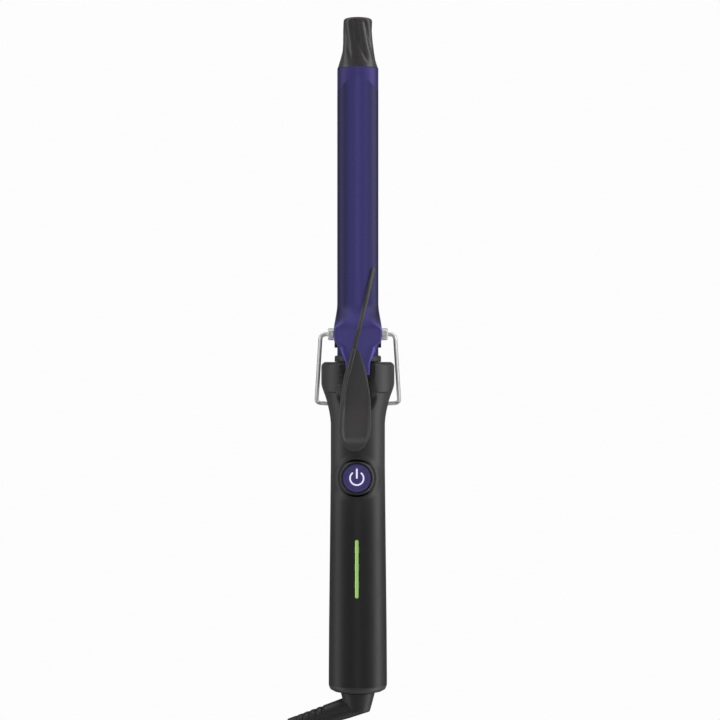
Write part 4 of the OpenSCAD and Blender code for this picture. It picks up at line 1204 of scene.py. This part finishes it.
def make_plug():
    rows = [
        (0, 8.0, 8.0), (0.3, 8.6, 8.4), (2, 9.4, 9.0), (6.5, 11.0, 10.6), (8, 15, 11.4), (10, 21, 12.4),
        (12.5, 27, 13.1), (15.5, 32.0, 13.6), (18.5, 34.2, 13.7), (21, 35, 13.7), (33.5, 34.9, 13.6),
        (35, 34.6, 13.3), (35.7, 33.9, 12.6), (36, 33.0, 11.7),
    ]
    stations = np.concatenate([np.linspace(0, 34, 90, endpoint=False), np.linspace(34, 36, 16)])
    wide, tall = (np.array([table(rows, s, column) for s in stations]) for column in (1, 2))
    wide[1:90], tall[1:90] = smooth_rows(wide, 6)[1:90], smooth_rows(tall, 6)[1:90]
    rings = []
    for s, w, t in zip(stations, wide, tall):
        outline = stadium(w, t, 96)
        rings.append([(PLUG_X + x, PLUG_Y + s, PLUG_Z + z) for x, z in outline])
    body = loft("plug_body_moulded", rings, "swivel", ["plug_body"], MATERIAL["plug"], at=LEVEL, sharp=50)
    face_y = PLUG_Y + PLUG_LENGTH
    pin = [
        (r, face_y + y) for r, y in
        ((1.5, -7.9), (1.5, 0), (2.0, 0.02), (2.0, 17.2), (1.9, 18.0), (1.55, 18.65), (0.95, 18.95), (0.01, 19))
    ]
    turned = gather(lathe_rings(pin, 48, (PLUG_X + side * 9.5, PLUG_Z)) for side in (-1, 1))
    pins = finish_mesh("plug_pins_turned", *turned, "swivel", ["plug_pins"], MATERIAL["chrome"], at=LEVEL)
    ridges = [
        repeat(
            "plug_ridges_" + name, small_bar("ridge", (18, 0.9, 0.6), 0.25), 6,
            (PLUG_X * MM, (PLUG_Y + 19) * MM, (PLUG_Z + way * 6.8) * MM), (0, 2.2 * MM, 0), MATERIAL["plug"],
            "swivel",
        )
        for name, way in (("front", 1), ("back", -1))
    ]
    return [body, pins] + ridges


def make_tie():
    """A woven strap round the hank, with a row of stitches on top."""
    half, low, high, thick, corner = 26.85, 0.05, 18.95, 0.75, 3.5
    right, top, bottom = half - corner, high - corner, low + corner
    around = []
    for cx, cz, start in ((right, top, 0), (-right, top, 90), (-right, bottom, 180), (right, bottom, 270)):
        around += [
            (cx + corner * math.cos(a), cz + corner * math.sin(a), math.cos(a), math.sin(a))
            for a in np.radians(np.linspace(start, start + 90, 12))
        ]
    section = [(-6, 0.2), (-5.85, 0), (5.85, 0), (6, 0.2)]
    section += [(across, thick - depth) for across, depth in section[::-1]]
    rings = [
        [(HANK_X + x - nx * depth, HANK_Y + across, z - nz * depth) for across, depth in section]
        for x, z, nx, nz in around
    ]
    strap = loft("hank_strap", rings, "swivel", ["hank_tie"], MATERIAL["tie"], closed=True, at=LEVEL, sharp=50)
    stitches = repeat(
        "strap_stitches", small_bar("stitch", (0.35, 1.3, 0.3), 0.1), 12,
        ((HANK_X + 8) * MM, HANK_Y * MM, 18.97 * MM), (1.05 * MM, 0, 0), MATERIAL["tie"], "swivel",
    )
    return [strap, stitches]


# ---- Making ----

make_camera()
make_studio()
make_floor()
cord, cord_path = make_cord(MATERIAL["cord"])
finish_inner_nodes()
make_handle()
make_barrel()
make_clamp()
make_lever()
make_pivot()
make_button()
make_swivel()
relief = make_relief()
on_cord = [relief] + make_plug() + make_tie()
